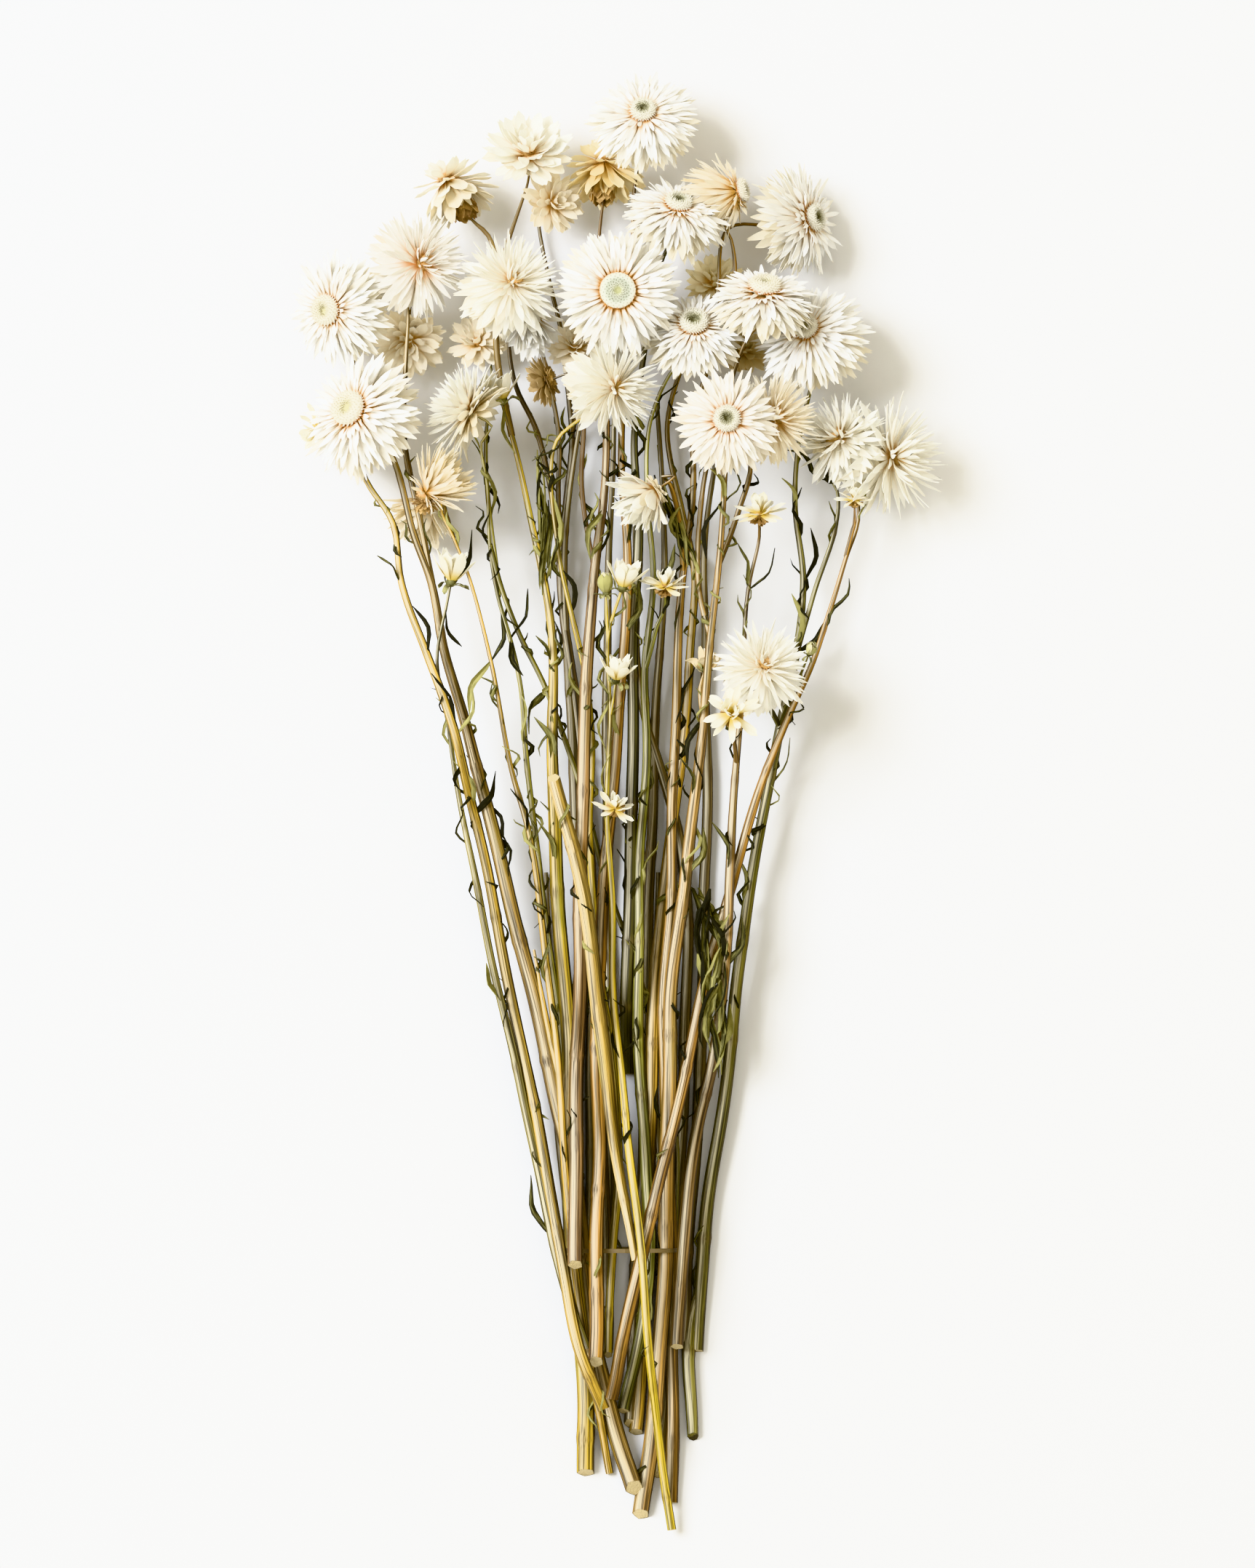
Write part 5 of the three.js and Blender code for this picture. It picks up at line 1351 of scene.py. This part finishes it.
def small_leaves(paths, every, chance):
    """Leaves for the leafy stretch of the lengths: (width, points), each curling round a line."""
    blades = []
    for path in paths:
        spots = [k for k in range(2, len(path) - 3) if LEAFY[0] < path[k].y < LEAFY[1]]
        bare = [k for k in range(2, len(path) - 3) if path[k].y <= LEAFY[0]]
        picks = [chance.choice(spots) for _ in range(round(len(spots) * STEP / every))]
        picks += [chance.choice(bare) for _ in range(round(len(bare) * STEP / BARE_EVERY))]
        for k in picks:
            way = (path[k + 1] - path[k]).normalized()
            if chance.random() < 0.35:
                way = -way
            side = Vector((way.y, -way.x, 0)).normalized() * chance.choice((-1, 1))
            long, curl, start = chance.uniform(7, 22), chance.uniform(1.4, 3.0), chance.uniform(0, 6)
            lean, climb, winds = chance.uniform(0.0, 0.3), chance.uniform(0.0, 0.2), chance.uniform(4, 9)
            points = []
            for i in range(9):
                t = i / 8
                spot = path[k] + way * long * t + side * (lean * long * t) + Vector((0, 0, climb * long * t))
                ease, turn = curl * min(1, 3 * t), start + winds * t
                spot += side * ease * math.cos(turn) + Vector((0, 0, ease * math.sin(turn)))
                spot.z = max(spot.z, 1.2)
                points.append(tuple(spot))
            blades.append((chance.uniform(0.8, 2.2), points))
    return blades


print("small leaves grow between", LEAFY, "mm, one in", LEAF_EVERY, "mm")
# %% Tangles of leaves
# How many leaves wind round one another, how widely, and along which line.
TANGLES = {
    "stem_mauve_right": (26, 1.0, ((32, -30, 24), (38, -64, 26), (36, -102, 24))),
    "stem_dark_brown": (16, 0.42, ((-29, 132, 20), (-26.5, 106, 24), (-26, 80, 26))),
    "stem_pale_mauve": (12, 0.42, ((16, 122, 30), (24, 106, 30), (29, 90, 30))),
}


def tangle(count, spread, points, chance):
    blades, line = [], smooth_path(points)
    for n in range(count):
        k = chance.randrange(len(line) - 8)
        start, winds, wide = chance.uniform(0, 6), chance.uniform(1, 3.6), spread * chance.uniform(2, 6)
        points = []
        for i in range(9):
            spot = line[min(len(line) - 1, k + i)]
            turn = start + winds * i / 8
            away = Vector((math.cos(turn) * wide, chance.uniform(-2, 2), math.sin(turn) * wide * 0.6))
            points.append(tuple(spot + away))
        blades.append((chance.uniform(1.6, 3.8) * (0.5 + spread / 2), points))
    return blades


print("leaves in tangles", sum(many for many, spread, points in TANGLES.values()))
# %% [markdown]
# ## Stems under the others
# More stems lie in the bundle than heads show above it. Eight bare ones run along the table under
# the others and close the gaps between them. They are rolled from their thin end beneath the
# heads down to their cut end, all in one piece.
# %% Bare stems that lie lowest
UNDER = [
    [
        (-12, 150, 16), (-19, 100, 9), (-17.9, 61.6, 5), (-14.6, -7, 3.5), (-12, -40, 2.5),
        (-16.5, -125, 2.4), (-12.4, -180.4, 2.3), (-9.1, -205, 2.2),
    ],
    [
        (-10.2, -26.4, 2.3), (-9.1, -95.2, 2.3), (-9.1, -163.9, 2.3), (-10.7, -202.4, 2.2),
    ],
    [
        (0, 152, 16), (-2, 95, 10), (-2.8, 56, 6), (-2.8, 0, 3.5), (-2.5, -81.4, 2.4),
        (-1.9, -150.2, 2.4), (-2.8, -207.9, 2.2),
    ],
    [
        (16, 152, 16), (19, 95, 10), (17.3, 61.6, 6), (14.3, 0, 3.5), (11.8, -81.4, 2.3),
        (10.7, -136.4, 2.3), (7.4, -191.4, 2.2), (5.8, -235.4, 2.2),
    ],
    [
        (16.5, -26.4, 2.2), (15.1, -108.9, 2.2), (18.4, -163.9, 2.2), (19.2, -218.9, 2.2), (16.5, -254.7, 2.2),
    ],
    [
        (8, 150, 14), (8, 90, 8), (10, 40, 5), (24, -10, 3), (27.5, -46.4, 2.4),
        (26.1, -108.9, 2.4), (23.4, -163.9, 2.4), (22, -218.9, 2.3), (21.2, -252, 2.3),
    ],
    [
        (40, 144, 16), (34, 95, 8), (34.4, 61.6, 5), (34.9, -7, 3.5), (33.8, -50.2, 2.2),
        (32.2, -108.9, 2.2), (28.3, -163.9, 2.2), (26.1, -205.2, 2.2),
    ],
    [
        (-26.1, -26.4, 2.2), (-22.8, -86.9, 2.2), (-19.3, -136.4, 2.2), (-15.1, -177.7, 2.2),
    ],
]


def start_stem():
    bm, marks = start_mesh()
    marks["grain"] = bm.verts.layers.float_vector.new("grain")
    marks["shade"] = bm.verts.layers.float.new("shade")
    return bm, marks


def end_stem(name, bm, tints, stands_for=None):
    bmesh.ops.recalc_face_normals(bm, faces=bm.faces[:])
    return piece(name, bm, [stem_finish(name, *tints)], slot_of(name), stands_for)


bm, marks = start_stem()
chance = random.Random("under")
for points in UNDER:
    roll(bm, marks, points[::-1], chance.uniform(3.4, 4.0), chance.uniform(2.6, 3.2), chance)
end_stem("stems_under", bm, ("7E6C42", "2A1F0E", "5A532C"))
print(len(UNDER), "stems under the others,", len(made["stems_under"].data.polygons), "faces")
# %% [markdown]
# ## The stems, with their leaves and buds
# A stem's piece holds its main length and its thinner twigs. A piece of its own holds its leaves,
# because they have another finish. Twigs that dried brown on a yellow stem are told by their head.
# %% All the stems
TWIG, BROWNED = 0.84, 1.7
BROWN_TWIGS = ("bloom_02", "bloom_03", "bloom_04", "bloom_46")
SLIM = {
    "stem_front_pale": 0.6, "stem_yellow_curved": 0.8, "stem_left_pale": 0.9,
    "stem_yellow_stout": 1.15, "stem_left_stout": 1.12,
}
for name, parts in STEMS.items():
    chance = random.Random(name)
    bm, marks = start_stem()
    paths = []
    for k, (start_width, end_width, carries, points, size) in enumerate(parts):
        slim, sides = (TWIG, 8) if k else (1, 10)
        widths = start_width * SLIM.get(name, 1) * slim, end_width * slim
        brown = BROWNED if carries in BROWN_TWIGS else 0
        paths.append(roll(bm, marks, points, *widths, chance, sides, k == 0, brown))
        if size:
            bud(f"{name}_bud_{k}", BUDS.get((name, k), "opening"), points, size, chance)
    end_stem(name, bm, TINTS[name], name)
    blades = [(width, leaf_line(name, *ends, bow)) for *ends, width, bow in LEAVES.get(name, [])]
    blades += small_leaves(paths, LEAF_EVERY * (SPARSER if name in BARER else 1), chance)
    if name in TANGLES:
        blades += tangle(*TANGLES[name], chance)
    if blades:
        bm, marks = start_mesh()
        for width, points in blades:
            lay_leaf(bm, marks, points, width, chance)
        thicken(bm, marks, LEAF_THICK)
        piece(f"{name}_leaves", bm, [LEAF], slot_of(name))
print("stems have", sum(len(made[name].data.polygons) for name in STEMS), "faces in all")
# %% [markdown]
# ## The band
# A thin dull brown band holds the stems together, nearly hidden among them. Its solid already has
# the right round, so it stays, and only gets a finish with fine ridges round it.
# %% Band finish
band = Finish("band_elastic", Roughness=0.6)
ridges = band.noise(band.stretched(band.place(), (300.0, 4200.0, 300.0)), 1.0, 2.0)
band.set(band.shader, {"Base_Color": band.mixed(ridges, paint("5C4C2E"), paint("7E6C46"))})
band.bump(ridges, 0.5, 0.0003)
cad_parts["tie"].data.materials.clear()
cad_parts["tie"].data.materials.append(band.material)
# %% [markdown]
# ## Table, light and camera
# The bunch lies on a plain white table and is looked at straight from above. One wide soft light
# stands high to the upper left, and a warm pale room fills the shadows, which fall to the lower
# right. Cream petals on a white table are nearly as light as the table. The neutral view
# transform keeps their hues where they come close to white, and extra bounces between the petals
# keep the gaps between the heads warm.
# %% Table
bm = bmesh.new()
bmesh.ops.create_grid(bm, x_segments=1, y_segments=1, size=6)
table_mesh = bpy.data.meshes.new("table")
bm.to_mesh(table_mesh)
bm.free()
table_top = bpy.data.objects.new("table", table_mesh)
bpy.context.scene.collection.objects.link(table_top)
pale = Finish("table_white", Roughness=0.9, Specular_IOR_Level=0.1)
cloud = pale.noise(pale.place(), 4.0, 3.0)
pale.set(pale.shader, {"Base_Color": pale.mixed(cloud, paint("E2E2E2"), paint("E6E6E6"))})
table_mesh.materials.append(pale.material)
print("table", table_top.dimensions[:])
# %% Light
world = bpy.data.worlds.new("pale_room")
bpy.context.scene.world = world
world.use_nodes = True
room = world.node_tree.nodes["Background"].inputs
room["Color"].default_value, room["Strength"].default_value = (1.0, 0.945, 0.8, 1), 1.06
glass = bpy.data.lights.new("window_light", "AREA")
glass.shape, glass.size, glass.energy, glass.color = "DISK", 2.3, 294, (0.98, 1.03, 1.14)
window = bpy.data.objects.new("window_light", glass)
bpy.context.scene.collection.objects.link(window)
window.location = (-2.5, 1.25, 3.1)
window.rotation_euler = (-window.location).to_track_quat("-Z", "Y").to_euler()
bpy.context.scene.view_settings.view_transform = "Khronos PBR Neutral"
bpy.context.scene.cycles.diffuse_bounces = 7
print("window light", round(window.location.length, 2), "m away")
# %% Camera
FRAME_HIGH, CAMERA_HIGH, HEADS_HIGH = 0.5929, 5.0, 0.02
camera = bpy.data.objects.new("camera", bpy.data.cameras.new("camera"))
bpy.context.scene.collection.objects.link(camera)
camera.location = (0.00481, 0.00715, CAMERA_HIGH)
camera.data.sensor_fit = "VERTICAL"
camera.data.sensor_height = 24
camera.data.lens = camera.data.sensor_height * (CAMERA_HIGH - HEADS_HIGH) / FRAME_HIGH
camera.data.clip_end = 50
bpy.context.scene.camera = camera
print("lens", round(camera.data.lens, 1), "mm")
